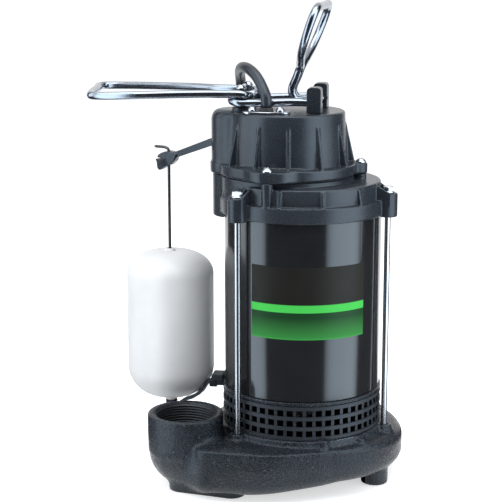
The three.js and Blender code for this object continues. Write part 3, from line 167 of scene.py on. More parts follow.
def piece(name, shape, material, body="casing", nodes=(), sharp=35, bevel=0.0):
    """An object at the origin from a shape (points in mm, blocks of faces). It rides on a body, takes
    the place of CAD nodes, and has its edges past sharp degrees kept, or bevelled by bevel mm."""
    points, faces = shape
    mesh = mesh_of(name, placed(points), faces)
    mesh.materials.append(material)
    mesh.shade_smooth()
    if sharp:
        mesh.set_sharp_from_angle(angle=math.radians(sharp))
    obj = bpy.data.objects.new(name, mesh)
    bpy.context.scene.collection.objects.link(obj)
    if bevel:
        cutter = obj.modifiers.new("edge", "BEVEL")
        cutter.width = bevel * MM
        cutter.segments = 2
        cutter.limit_method = "ANGLE"
        cutter.angle_limit = math.radians(40)
        cutter.harden_normals = True
    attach(obj, body)
    if nodes:
        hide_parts(*nodes)
    return obj


def gathered(*shapes):
    """Several shapes as one: each block's corner numbers move up by the points before it."""
    points, blocks, before = [], [], 0
    for p, faces in shapes:
        points.append(p)
        blocks += [np.asarray(block) + before for block in faces if len(block)]
        before += len(p)
    return np.concatenate(points), blocks


def grid_faces(rows, columns, round_rows=False, round_columns=False):
    """Quads of a grid of points, where point (i, j) is number i * columns + j."""
    i, j = np.meshgrid(
        np.arange(rows if round_rows else rows - 1),
        np.arange(columns if round_columns else columns - 1),
        indexing="ij",
    )
    k, m = (i + 1) % rows, (j + 1) % columns
    return np.stack([i * columns + j, k * columns + j, k * columns + m, i * columns + m], -1).reshape(-1, 4)


def grid_rim(rows, columns):
    """Numbers of a grid's outer points, once round: down the first column, along the last row, and back."""
    return np.concatenate([
        np.arange(rows) * columns, (rows - 1) * columns + np.arange(1, columns),
        np.arange(rows - 2, -1, -1) * columns + columns - 1, np.arange(columns - 2, 0, -1),
    ])


def lofted(rings, closed=False):
    """Rings of equal point count joined in turn. Open ends close with a fan to their middle."""
    rings = np.asarray(rings, float)
    rows, columns = rings.shape[:2]
    points = rings.reshape(-1, 3)
    faces = [grid_faces(rows, columns, round_rows=closed, round_columns=True)]
    if not closed:
        first, last = np.full((2, columns), len(points)) + ((0,), (1,))
        points = np.concatenate([points, rings[0].mean(0)[None], rings[-1].mean(0)[None]])
        j = np.arange(columns)
        after, base = (j + 1) % columns, (rows - 1) * columns
        faces += [np.stack([first, j, after], 1), np.stack([last, base + after, base + j], 1)]
    return points, faces


def round_angles(sides):
    """Equal steps of angle round a full turn."""
    return 2 * np.pi * np.arange(sides) / sides


def around(radius, angle, height, centre=(0.0, 0.0)):
    """Points round a vertical axis: x = r cos a, y = r sin a, z = height."""
    r, a, z = np.broadcast_arrays(radius, angle, height)
    return np.stack([centre[0] + r * np.cos(a), centre[1] + r * np.sin(a), z], -1)


def turned(profile, sides=96, centre=(0.0, 0.0), closed=True):
    """Each profile point (radius, height) carried round a vertical axis."""
    radius, height = np.asarray(profile, float).T[..., None]
    return lofted(around(radius, round_angles(sides), height, centre), closed=closed)


def solid_turned(profile, sides=96, centre=(0.0, 0.0)):
    """A turned solid whose profile starts and ends on the axis, which the two end fans close."""
    return turned(profile[1:-1], sides, centre, closed=False)


def rounded(outline, radii, steps=4, closed=True):
    """Each corner becomes the arc (1-t)^2 A + 2t(1-t) P + t^2 B between points cut back along its sides."""
    p = np.asarray(outline, float)
    radii = np.broadcast_to(np.asarray(radii, float), (len(p),)).copy()
    before, after = np.roll(p, 1, 0) - p, np.roll(p, -1, 0) - p
    if not closed:
        radii[0] = radii[-1] = 0
    reach_b = np.maximum(np.linalg.norm(before, axis=1), 1e-9)
    reach_a = np.maximum(np.linalg.norm(after, axis=1), 1e-9)
    back = np.minimum(radii, np.minimum(reach_a, reach_b) * 0.48)
    a = p + before / reach_b[:, None] * back[:, None]
    b = p + after / reach_a[:, None] * back[:, None]
    t = np.linspace(0, 1, steps + 1)[None, :, None]
    arcs = (1 - t) ** 2 * a[:, None] + 2 * t * (1 - t) * p[:, None] + t**2 * b[:, None]
    arcs = arcs.reshape(-1, p.shape[1])
    keep = np.linalg.norm(arcs - np.roll(arcs, 1, 0), axis=1) > 1e-6
    keep[0] = True
    return arcs[keep]


def smooth_line(points, spacing, closed=False):
    """A centripetal Catmull-Rom curve: each stretch is the cubic whose end slopes weigh the
    neighbouring stretches by the square root of their lengths. Sampled at even spacing."""
    p = np.asarray(points, float)
    if closed:
        p = np.concatenate([p[-1:], p, p[:2]])
    else:
        p = np.concatenate([2 * p[:1] - p[1:2], p, 2 * p[-1:] - p[-2:-1]])
    p0, p1, p2, p3 = p[:-3], p[1:-2], p[2:-1], p[3:]
    steps = np.maximum(np.linalg.norm(np.diff(p, axis=0), axis=1), 1e-9)[:, None] ** 0.5
    d0, d1, d2 = steps[:-2], steps[1:-1], steps[2:]
    m1 = ((p1 - p0) / d0 - (p2 - p0) / (d0 + d1) + (p2 - p1) / d1) * d1
    m2 = ((p2 - p1) / d1 - (p3 - p1) / (d1 + d2) + (p3 - p2) / d2) * d1
    t = (np.arange(48) / 48)[None, :, None]
    p1, p2, m1, m2 = p1[:, None], p2[:, None], m1[:, None], m2[:, None]
    fine = (2 * p1 - 2 * p2 + m1 + m2) * t**3 + (-3 * p1 + 3 * p2 - 2 * m1 - m2) * t**2 + m1 * t + p1
    fine = fine.reshape(-1, 3)
    end = p[1:2] if closed else p[-2:-1]
    fine = np.concatenate([fine, end])
    way = np.concatenate([[0], np.cumsum(np.linalg.norm(np.diff(fine, axis=0), axis=1))])
    count = max(int(round(way[-1] / spacing)), 2)
    at = np.linspace(0, way[-1], count + 1)
    line = np.stack([np.interp(at, way, fine[:, k]) for k in range(3)], 1)
    return line[:-1] if closed else line


def headings(line, closed=False):
    """The unit direction at each station, from the one before it to the one after."""
    if closed:
        d = np.roll(line, -1, 0) - np.roll(line, 1, 0)
    else:
        d = np.concatenate([line[1:2] - line[:1], line[2:] - line[:-2], line[-1:] - line[-2:-1]])
    return d / np.linalg.norm(d, axis=1)[:, None]


def carried(line, section, closed=False, first_up=(0.0, 0.0, 1.0), sizes=None):
    """A section carried along a line of stations. Its up direction turns as little as it can:
    each station takes the last one's up, made square to its own heading."""
    along = headings(line, closed)
    up = np.zeros_like(line)
    last = np.asarray(first_up, float)
    for k, heading in enumerate(along):
        last = last - heading * np.dot(last, heading)
        last = last / np.linalg.norm(last)
        up[k] = last
    if closed:
        final = up[-1] - along[0] * np.dot(up[-1], along[0])
        final /= np.linalg.norm(final)
        side = np.cross(along[0], up[0])
        miss = math.atan2(np.dot(final, side), np.dot(final, up[0]))
        turn = -miss * np.arange(len(line)) / len(line)
        across = np.cross(along, up)
        up = up * np.cos(turn)[:, None] + across * np.sin(turn)[:, None]
    across = np.cross(along, up)
    section = np.asarray(section, float)
    size = np.ones(len(line)) if sizes is None else np.asarray(sizes, float)
    u, v = section[None, :, 0, None] * size[:, None, None], section[None, :, 1, None] * size[:, None, None]
    return lofted(line[:, None] + across[:, None] * u + up[:, None] * v, closed=closed)


def circle(radius, sides=20):
    """Points of a circle: radius cos a, radius sin a."""
    return around(radius, round_angles(sides), 0)[:, :2]


# ---------------------------------------------------------------- distance fields
# A casting or moulding with fillets at every join can't be one grid of two parameters.
# It is the zero surface of a distance field instead, in mm. Each field below takes the
# three coordinates of a box of space, as space() gives them.
def space(low, high, step):
    """The coordinates of a box of space, one array for each axis, ready to combine."""
    x, y, z = (np.arange(a, b + step, step, dtype=np.float32) for a, b in zip(low, high))
    return x[:, None, None], y[None, :, None], z[None, None, :]


def melt(a, b, fillet):
    """The lesser of two distances, less h^2 fillet / 4 where h = 1 - |a - b| / fillet is positive."""
    h = np.maximum(fillet - np.abs(a - b), 0) / fillet
    return np.minimum(a, b) - h * h * (fillet * 0.25)


def carve(a, b, fillet):
    """What is left of a without b, with the edge eased the same way."""
    return -melt(-a, b, fillet)


def outline_distance(outline, u, v):
    """Signed distance from points (u, v) to a polygon: the least over its sides, negative inside."""
    outline = np.asarray(outline, float)
    u, v = np.broadcast_arrays(u, v)
    least = np.full(u.shape, 1e18)
    inside = np.zeros(u.shape, bool)
    for a, b in zip(outline, np.roll(outline, -1, 0)):
        side = b - a
        du, dv = u - a[0], v - a[1]
        t = np.clip((du * side[0] + dv * side[1]) / max(side @ side, 1e-12), 0, 1)
        least = np.minimum(least, (du - side[0] * t) ** 2 + (dv - side[1] * t) ** 2)
        crosses = (v < a[1]) != (v < b[1])
        with np.errstate(divide="ignore", invalid="ignore"):
            cut_u = a[0] + (v - a[1]) * side[0] / np.where(side[1] == 0, 1e-12, side[1])
        inside ^= crosses & (u < cut_u)
    return np.where(inside, -1, 1) * np.sqrt(least)


def profile_field(reach, z, outline):
    """The polygon's distance in the plane of a level reach and the height, read from a fine table."""
    start, pitch = float(reach.min()) - 0.5, 0.2
    bins = np.arange(start, float(reach.max()) + 1, pitch)
    table = outline_distance(outline, bins[:, None], z.reshape(1, -1)).astype(np.float32)
    k = ((reach[..., 0] - start) / pitch).astype(np.float32)
    i = np.clip(k.astype(int), 0, len(bins) - 2)
    f = (k - i)[..., None]
    return table[i] * (1 - f) + table[i + 1] * f


def turned_field(here, outline, centre=(0.0, 0.0)):
    """A solid of revolution: its reach is the distance from a vertical axis."""
    x, y, z = here
    return profile_field(np.hypot(x - centre[0], y - centre[1]), z, outline)


def plate_field(here, outline, half, degrees, centre=(0.0, 0.0)):
    """An upright plate: the outline in the plane of one level direction, and half a thickness across."""
    x, y, z = here
    c, s = polar(1.0, degrees)
    along = (x - centre[0]) * c + (y - centre[1]) * s
    across = np.abs((y - centre[1]) * c - (x - centre[0]) * s) - half
    return np.maximum(profile_field(along, z, outline), across)


def fan_field(here, outline, half, count, start):
    """Equal plates round the axis: the angle folds into one share of the turn."""
    x, y, z = here
    share = 2 * np.pi / count
    a = np.mod(np.arctan2(y, x) - math.radians(start) + share / 2, share) - share / 2
    r = np.hypot(x, y)
    return np.maximum(profile_field(r * np.cos(a), z, outline), np.abs(r * np.sin(a)) - half)


def upright_field(plan, z, low, high, edge=0.0):
    """A prism over a plan distance, with its edges rounded."""
    a = plan + edge
    b = np.abs(z - (low + high) / 2) - (high - low) / 2 + edge
    return np.hypot(np.maximum(a, 0), np.maximum(b, 0)) + np.minimum(np.maximum(a, b), 0) - edge


def post_field(here, centre, radius, low, high, edge=0.0):
    """An upright cylinder."""
    x, y, z = here
    return upright_field(np.hypot(x - centre[0], y - centre[1]) - radius, z, low, high, edge)


def bar_field(here, start, end, radius, low, high, edge=0.0):
    """An upright prism over a stadium: the plan distance to a stretch of line, less the radius."""
    x, y, z = here
    a, b = np.asarray(start, float), np.asarray(end, float)
    way = b - a
    t = np.clip(((x - a[0]) * way[0] + (y - a[1]) * way[1]) / (way @ way), 0, 1)
    return upright_field(np.hypot(x - a[0] - way[0] * t, y - a[1] - way[1] * t) - radius, z, low, high, edge)


def from_axis(*points):
    """An outline whose first and last points go well past the axis, so that it leaves no wall there."""
    past = -40.0
    return [(past, points[0][1]), *points, (past, points[-1][1])]


def surface_of(field, low, step):
    """The zero surface of a distance field, in mm, kept in a band of three steps on either side."""
    band = 3 * step
    grid = vdb.FloatGrid(band)
    grid.copyFromArray(np.ascontiguousarray(np.clip(field, -band, band), np.float32))
    points, triangles, quads = grid.convertToPolygons(isovalue=0.0, adaptivity=0.0)
    points = np.asarray(points, float) * step + np.asarray(low, float)
    return points, [np.asarray(quads), np.asarray(triangles)]


# ---------------------------------------------------------------- materials
# The cool tint of the black finishes' gloss, and the painted shade put inside a hollow casting, where light
# doesn't reach.
COOL = (0.80, 0.91, 1.0)
PAINTED_SHADE = (0.001, 0.001, 0.0012)


def fill(tree, node, inputs):
    """Each input takes a value, or a link where it is given an output. A colour gets its alpha."""
    for key, value in inputs.items():
        socket = node.inputs[key]
        if isinstance(value, bpy.types.NodeSocket):
            tree.links.new(value, socket)
        else:
            socket.default_value = (*value, 1) if socket.type == "RGBA" else value
    return node


def added(tree, kind, inputs=None, **settings):
    """A new node of a kind, with its settings and its inputs."""
    node = tree.nodes.new("ShaderNode" + kind)
    for name, value in settings.items():
        setattr(node, name, value)
    return fill(tree, node, inputs or {})


def noise(tree, where, scale, detail=3.0, roughness=0.55):
    """A grain from 0 to 1, whose scale counts its waves per metre."""
    grain = {"Vector": where, "Scale": scale, "Detail": detail, "Roughness": roughness}
    return added(tree, "TexNoise", grain).outputs["Fac"]


def ramp(tree, value, stops, smooth=True):
    """A value spread over stops (position, colour or grey)."""
    node = added(tree, "ValToRGB", {"Fac": value})
    node.color_ramp.interpolation = "EASE" if smooth else "LINEAR"
    elements = node.color_ramp.elements
    while len(elements) < len(stops):
        elements.new(0.5)
    for element, (position, colour) in zip(elements, stops):
        element.position = position
        element.color = (*np.broadcast_to(colour, 3), 1)
    return node.outputs["Color"]


def bump(tree, height, strength, depth, under=None):
    """Relief of a height with a depth in metres, laid over the relief under it."""
    inputs = {"Height": height, "Strength": strength, "Distance": depth}
    if under is not None:
        inputs["Normal"] = under
    return added(tree, "Bump", inputs).outputs["Normal"]


def mixed(tree, share, a, b):
    """Two colours or colour outputs joined by a share: a where it is 0, b where it is 1."""
    return added(tree, "Mix", {0: share, 6: a, 7: b}, data_type="RGBA").outputs[2]


def new_material(name, metallic=0.0, coat=0.0, coat_rough=0.1, level=0.5, tint=(1.0, 1.0, 1.0)):
    """(material, node tree, shader, Object coordinates) of a new material."""
    material = bpy.data.materials.new(name)
    material.use_nodes = True
    tree = material.node_tree
    shader = fill(tree, tree.nodes["Principled BSDF"], {
        "Metallic": metallic, "Coat Weight": coat, "Coat Roughness": coat_rough,
        "Specular IOR Level": level, "Specular Tint": tint,
    })
    return material, tree, shader, added(tree, "TexCoord").outputs["Object"]


def painted_inner_shade(tree, shader, where, colour, radius):
    """Painted shade: the finish goes dark nearer the motor's axis than a radius in metres, standing in for
    the shadow inside a hollow. The length of the level part of the place, less the axis, is spread over 0.6
    mm, and scales the gloss and mixes the colour."""
    level = added(tree, "VectorMath", {0: where, 1: (1, 1, 0), 2: -MOTOR_AXIS * MM}, operation="MULTIPLY_ADD")
    reach = added(tree, "VectorMath", {0: level.outputs["Vector"]}, operation="LENGTH").outputs["Value"]
    limits = {"Value": reach, "From Min": radius - 0.0006, "From Max": radius}
    share = added(tree, "MapRange", limits).outputs["Result"]
    for gloss in ("Specular IOR Level", "Coat Weight"):
        full = shader.inputs[gloss].default_value
        fill(tree, shader, {gloss: added(tree, "Math", {0: share, 1: full}, operation="MULTIPLY").outputs[0]})
    return mixed(tree, share, PAINTED_SHADE, colour)


def grained(name, colours, rough, grains, lumps=None, painted_glints=None, painted_shade_within=None, **shader_words):
    """A finish whose colour drifts between two tones, with a fine grain in its roughness and relief.
    rough is (smoothest, roughest). grains and lumps are (size per metre, strength, depth in metres).
    painted_glints is (size per metre, where they start, colour): light dots painted into the colour that
    stand in for glints. painted_shade_within is the radius of painted_inner_shade(), painted shade inside a
    hollow."""
    material, tree, shader, where = new_material(name, **shader_words)
    colour = ramp(tree, noise(tree, where, 22, detail=4), [(0.3, colours[0]), (0.7, colours[1])])
    if painted_glints:
        size, start, tone = painted_glints
        # Painted glints: light dots in the base colour stand in for glints of light on the grain.
        glint_dots = noise(tree, where, size, detail=2, roughness=0.5)
        colour = mixed(tree, ramp(tree, glint_dots, [(start, 0.0), (start + 0.07, 1.0)]), colour, tone)
    # Painted shade: the colour goes dark and the gloss fades inside the hollow, where light doesn't reach.
    if painted_shade_within:
        colour = painted_inner_shade(tree, shader, where, colour, painted_shade_within)
    fine = noise(tree, where, grains[0], detail=4, roughness=0.6)
    relief = bump(tree, fine, *grains[1:])
    if lumps:
        relief = bump(tree, noise(tree, where, lumps[0], detail=2), *lumps[1:], relief)
    gloss = ramp(tree, fine, [(0.3, rough[0]), (0.72, rough[1])])
    fill(tree, shader, {"Base Color": colour, "Roughness": gloss, "Normal": relief})
    return material


cast_black = grained(
    "cast_black", ((0.003, 0.0045, 0.007), (0.009, 0.011, 0.016)), (0.15, 0.36),
    # Painted glints in the casting's colour.
    (620, 0.9, 0.0012), lumps=(170, 0.3, 0.0014), painted_glints=(760, 0.63, (0.060, 0.070, 0.086)),
    # Painted shade inside the casting's chamber.
    painted_shade_within=0.0614, coat=0.12, coat_rough=0.12, level=0.40, tint=COOL,
)
cap_black = grained(
    "cap_black", ((0.018, 0.022, 0.029), (0.027, 0.032, 0.040)), (0.22, 0.34),
    (900, 0.25, 0.0003), lumps=(60, 0.1, 0.001), level=0.42, tint=COOL,
)
strainer_black = grained(
    "strainer_black", ((0.016, 0.019, 0.024), (0.028, 0.032, 0.039)), (0.42, 0.6),
    # Painted shade inside the strainer cage, where light doesn't reach.
    (1100, 0.3, 0.0003), level=0.4, tint=COOL, painted_shade_within=0.0633,
)
can_enamel = grained(
    "can_enamel", ((0.0105, 0.0108, 0.0120), (0.0130, 0.0134, 0.0150)), (0.13, 0.19),
    (300, 0.02, 0.0002), coat=0.5, coat_rough=0.09, tint=COOL,
)
cord_rubber = grained(
    "cord_rubber", ((0.013, 0.015, 0.020), (0.020, 0.023, 0.029)), (0.3, 0.42),
    (1500, 0.2, 0.0002), tint=COOL,
)
float_white = grained(
    "float_white", ((0.68, 0.685, 0.69), (0.74, 0.745, 0.75)), (0.34, 0.46),
    (500, 0.06, 0.0003), lumps=(28, 0.1, 0.003),
)
bright_wire = grained(
    "bright_wire", ((0.25, 0.28, 0.325), (0.33, 0.365, 0.41)), (0.17, 0.21),
    (90, 0.01, 0.0001), metallic=1.0,
)
dull_steel = grained(
    "dull_steel", ((0.050, 0.052, 0.056), (0.09, 0.092, 0.096)), (0.34, 0.44),
    (200, 0.02, 0.0001), metallic=0.9,
)
bright_steel = grained(
    "bright_steel", ((0.38, 0.40, 0.44), (0.52, 0.54, 0.58)), (0.20, 0.28),
    (300, 0.03, 0.0002), metallic=1.0,
)
machined_iron = grained(
    "machined_iron", ((0.022, 0.024, 0.028), (0.05, 0.053, 0.06)), (0.3, 0.5),
    (1200, 0.3, 0.0003), metallic=0.6,
)
bare_steel = grained(
    "bare_steel", ((0.42, 0.43, 0.45), (0.56, 0.57, 0.59)), (0.26, 0.42),
    (1400, 0.2, 0.0002), metallic=1.0,
)
bearing_bronze = grained(
    "bearing_bronze", ((0.36, 0.22, 0.09), (0.46, 0.29, 0.13)), (0.3, 0.46),
    (1300, 0.25, 0.0003), metallic=1.0,
)
winding_copper = grained(
    "winding_copper", ((0.40, 0.13, 0.05), (0.60, 0.24, 0.10)), (0.28, 0.44),
    (260, 0.8, 0.0015), metallic=0.9,
)
soft_rubber = grained(
    "soft_rubber", ((0.012, 0.012, 0.013), (0.020, 0.020, 0.022)), (0.6, 0.78),
    (900, 0.3, 0.0003),
)


def laminated_steel():
    """Thin sheets stacked along the motor's axis: bands of the height, a sheet each 0.65 mm."""
    material, tree, shader, where = new_material("laminated_steel", metallic=1.0)
    wave = {"Vector": where, "Scale": 245, "Distortion": 0.2}
    bands = added(tree, "TexWave", wave, bands_direction="Z").outputs["Fac"]
    fill(tree, shader, {
        "Base Color": ramp(tree, bands, [(0.2, (0.16, 0.165, 0.18)), (0.6, (0.42, 0.43, 0.45))]),
        "Roughness": ramp(tree, noise(tree, where, 800), [(0.3, 0.34), (0.7, 0.5)]),
        "Normal": bump(tree, bands, 0.5, 0.0002),
    })
    return material


def label_finish():
    """Printed bands by the label's own height: bright edge, dark green fading up, bright band, black."""
    material, tree, shader, where = new_material("label_bands", level=0.14)
    own = added(tree, "UVMap", uv_map="label").outputs["UV"]
    height = added(tree, "SeparateXYZ", {"Vector": own}).outputs["Y"]
    edge, leaf, stem = (0.035, 0.30, 0.05), (0.028, 0.21, 0.04), (0.02, 0.13, 0.028)
    deep, bright, black = (0.006, 0.045, 0.012), (0.055, 0.52, 0.075), (0.013, 0.013, 0.011)
    bands = [
        (0.0, edge), (0.03, leaf), (0.16, stem), (0.30, deep), (0.372, deep),
        (0.374, bright), (0.478, bright), (0.481, black), (1.0, black),
    ]
    fill(tree, shader, {
        "Base Color": ramp(tree, height, bands, smooth=False),
        "Roughness": ramp(tree, noise(tree, where, 90), [(0.3, 0.42), (0.7, 0.5)]),
        "Normal": bump(tree, noise(tree, where, 40), 0.03, 0.001),
    })
    return material


def drawn_steel():
    """Plated rod: long faint streaks along its axis in colour and gloss."""
    material, tree, shader, where = new_material("drawn_steel", metallic=1.0)
    stretched = added(tree, "Mapping", {"Vector": where, "Scale": (1.0, 1.0, 0.02)}).outputs["Vector"]
    streak = noise(tree, stretched, 700, detail=2)
    fill(tree, shader, {
        "Base Color": ramp(tree, streak, [(0.3, (0.42, 0.44, 0.47)), (0.7, (0.60, 0.62, 0.65))]),
        "Roughness": ramp(tree, streak, [(0.3, 0.20), (0.7, 0.28)]),
    })
    return material


stack_steel = laminated_steel()
rod_steel = drawn_steel()
label_bands = label_finish()

# ---------------------------------------------------------------- cord
CORD_ROUTE = [
    (-30.124, -26.965, 307.6), (-30.124, -26.965, 314.5), (-33.2, -20.6, 322.5), (-37.6, -13.2, 330),
    (-43.2, -3, 334.8), (-47.6, 9, 335.6), (-50.2, 22, 333.4), (-50.8, 33, 328.6), (-50.3, 41.6, 321),
    (-49.6, 47.4, 311), (-49, 51.2, 299), (-48.6, 54.4, 284), (-48.6, 57.4, 266), (-49, 61.4, 240),
    (-50, 66.5, 205), (-51.5, 72.5, 168), (-53.5, 78.5, 130), (-55.5, 84.5, 95), (-57.5, 91, 62),
    (-59, 99.5, 35), (-59.6, 110, 16), (-59.39, 122, 7), (-59.29, 134, 4.7), (-59.29, 141, 4.4),
    (-59.29, 143.8, 4.4),
]
COIL_AT, COIL_OUTER, COIL_PITCH, COIL_TURNS, COIL_TAIL = (3.0, 153.0), 62.2875, 9.1, 3.25, 26.0
CORD_REST, PLUG_LENGTH = 4.4, 44.0


def coil_line(steps=48):
    """A flat spiral inwards and the same spiral back out one layer up: the radius falls by one
    pitch each turn and then grows, and the height takes one smooth step half way."""
    turn = np.arange(2 * COIL_TURNS * steps + 1) / steps
    radius = COIL_OUTER - COIL_PITCH * np.minimum(turn, 2 * COIL_TURNS - turn)
    t = np.clip((turn - COIL_TURNS + 0.25) / 0.5, 0, 1)
    height = CORD_REST + COIL_PITCH * t * t * (3 - 2 * t)
    wound = around(radius, np.radians(180 - 360 * turn), height, COIL_AT)
    tail = wound[-1:] - np.array(((0, 8, 0), (0, COIL_TAIL / 2, 0), (0, COIL_TAIL, 0)))
    return np.concatenate([wound, tail])


cord_line = np.concatenate([smooth_line(CORD_ROUTE, 3.0), coil_line()])
CORD_END = cord_line[-1]
mains_lead = piece(
    "mains_lead", carried(cord_line, circle(CORD_RADIUS, 18), first_up=(0, 1, 0)), cord_rubber,
    nodes=("mains_cord", "cord_coil"), sharp=0,
)


def plug_shape():
    """Square-ish rings along -y: each is a superellipse |x/a|^n + |z/b|^n = 1, and the grip's
    stations (length, half width) breathe in and out."""
    stations = np.array((
        (0, 5.2), (2, 5.9), (13.5, 6.6), (14.5, 7.5), (16, 9.6), (18, 11.3), (21, 12.4), (23, 12.4),
        (24, 11.7), (26, 11.7), (27, 12.4), (29, 12.4), (30, 11.7), (32, 11.7), (33, 12.4), (36, 12.4),
        (40, 12.4), (42.4, 12.4), (43.6, 12.0), (44.3, 11.2),
    ))
    y, half = stations.T[..., None]
    bend = 2 / np.interp(y, (13, 22), (2.0, 3.6))
    a = round_angles(40)
    x, z = (np.sign(wave) * np.abs(wave) ** bend * half * 0.98 for wave in (np.cos(a), np.sin(a)))
    return lofted(np.stack([CORD_END[0] + x, CORD_END[1] - CLEAR - y + 0 * x, CORD_END[2] + z], -1))


def blade_shape(x, z, half_x, half_z, length):
    """A contact blade with a rounded tip, carried along -y from the plug's face."""
    outline = rounded([(-half_x, -half_z), (half_x, -half_z), (half_x, half_z), (-half_x, half_z)], 0.5, 2)
    u, v = outline.T[:, None]
    y, size = np.array(((-1.0, 1.0), (length - 2.2, 1.0), (length - 0.9, 0.86), (length, 0.55))).T[..., None]
    return lofted(np.stack([
        CORD_END[0] + x + u * np.maximum(size, 0.7),
        CORD_END[1] - CLEAR - PLUG_LENGTH - y + 0 * u,
        CORD_END[2] + z + v * size,
    ], -1))


plug_body = piece("plug_body", plug_shape(), soft_rubber, nodes=("cord_plug",), sharp=50)
plug_blades = piece(
    "plug_blades",
    gathered(
        blade_shape(-6.35, 3, 0.75, 3.15, 16.5),
        blade_shape(6.35, 3, 0.75, 3.15, 16.5),
        blade_shape(0, -6, 2.35, 2.35, 18.5),
    ),
    bearing_bronze,
)

# ---------------------------------------------------------------- base casting
WATER_WAY = np.array((
    (10, -56, 29, 13, 13), (-14, -60, 29, 16, 13), (-36, -62, 29, 18, 13),
    (-55.8, -54.7, 29, 20, 13.5), (-76.8, -45.7, 29, 21, 19), (-94.8, -31.7, 31, 29.5, 27.5),
))
BODY_FRONT = BODY_CENTRE[1] - BODY_RADIUS


def water_way_field(here, inset):
    """An ellipse carried along the water way: k0 (k0 - 1) / k1 with k0 = |(d/a, h/b)| and
    k1 = |(d/a^2, h/b^2)|. WATER_WAY holds its middles and its half width a and half height b."""
    x, y, z = here
    line = smooth_line(WATER_WAY[:, :3], 2.0)
    at = np.linspace(0, 1, len(line))
    joints = np.linspace(0, 1, len(WATER_WAY))
    gaps = (x[..., 0][..., None] - line[:, 0]) ** 2 + (y[..., 0][..., None] - line[:, 1]) ** 2
    near = gaps.argmin(-1)
    d = np.sqrt(gaps.min(-1))[..., None]
    a = (np.interp(at, joints, WATER_WAY[:, 3]) - inset).astype(np.float32)[near][..., None]
    b = (np.interp(at, joints, WATER_WAY[:, 4]) - inset).astype(np.float32)[near][..., None]
    h = z - line[:, 2].astype(np.float32)[near][..., None]
    k0 = np.sqrt((d / a) ** 2 + (h / b) ** 2)
    k1 = np.sqrt((d / a**2) ** 2 + (h / b**2) ** 2) + 1e-6
    return k0 * (k0 - 1) / k1


def wing_outline():
    """Plan of the body round the water way: the round body's rim on the right, a nearly
    straight front wall, a rounded corner beside the elbow, and a web behind it."""
    rim = [np.add(BODY_CENTRE, polar(BODY_RADIUS - 0.4, angle)) for angle in (-20, -35, -50, -62)]
    front = [(14, BODY_FRONT - 1.2), (-2, BODY_FRONT - 4.4), (-28, BODY_FRONT - 9.2), (-56, BODY_FRONT - 3.4)]
    corner = [(-82.5, BODY_FRONT + 2.2), (-88, -61), (-88.8, -19.7), (-70.8, 18.3), (4, 26)]
    return rounded(rim + front + corner, (0, 9, 9, 9, 20, 20, 60, 60, 5, 8, 5, 0, 0), 8)


def body_field(here):
    """Round body and wing share one deck, which dips a little towards its rim, and a crisp upper
    edge that softens to the right. Each has its own underside; the wing's falls to the left."""
    x, y, z = here
    disc = np.hypot(x - BODY_CENTRE[0], y - BODY_CENTRE[1]) - BODY_RADIUS
    wing = outline_distance(wing_outline(), x, y)
    plan = np.minimum(disc, wing)
    deck = DECK - 0.4 - 1.6 * np.clip(1 + plan / 11, 0, 1) ** 1.5
    edge = 1.8 + 7.2 * np.clip((x + y * 0.5 - 5) / 60, 0, 1)
    upper = upright_field(plan, z, -90.0, deck, edge)
    fall = np.maximum(0.1 * (x - CAN_RADIUS / 2), -7.6)
    under = np.minimum(
        upright_field(disc, z, FOOT_UNDER, 200.0, 9.0), upright_field(wing, z, FOOT_UNDER + fall, 200.0, 9.0)
    )
    return np.maximum(upper, under)


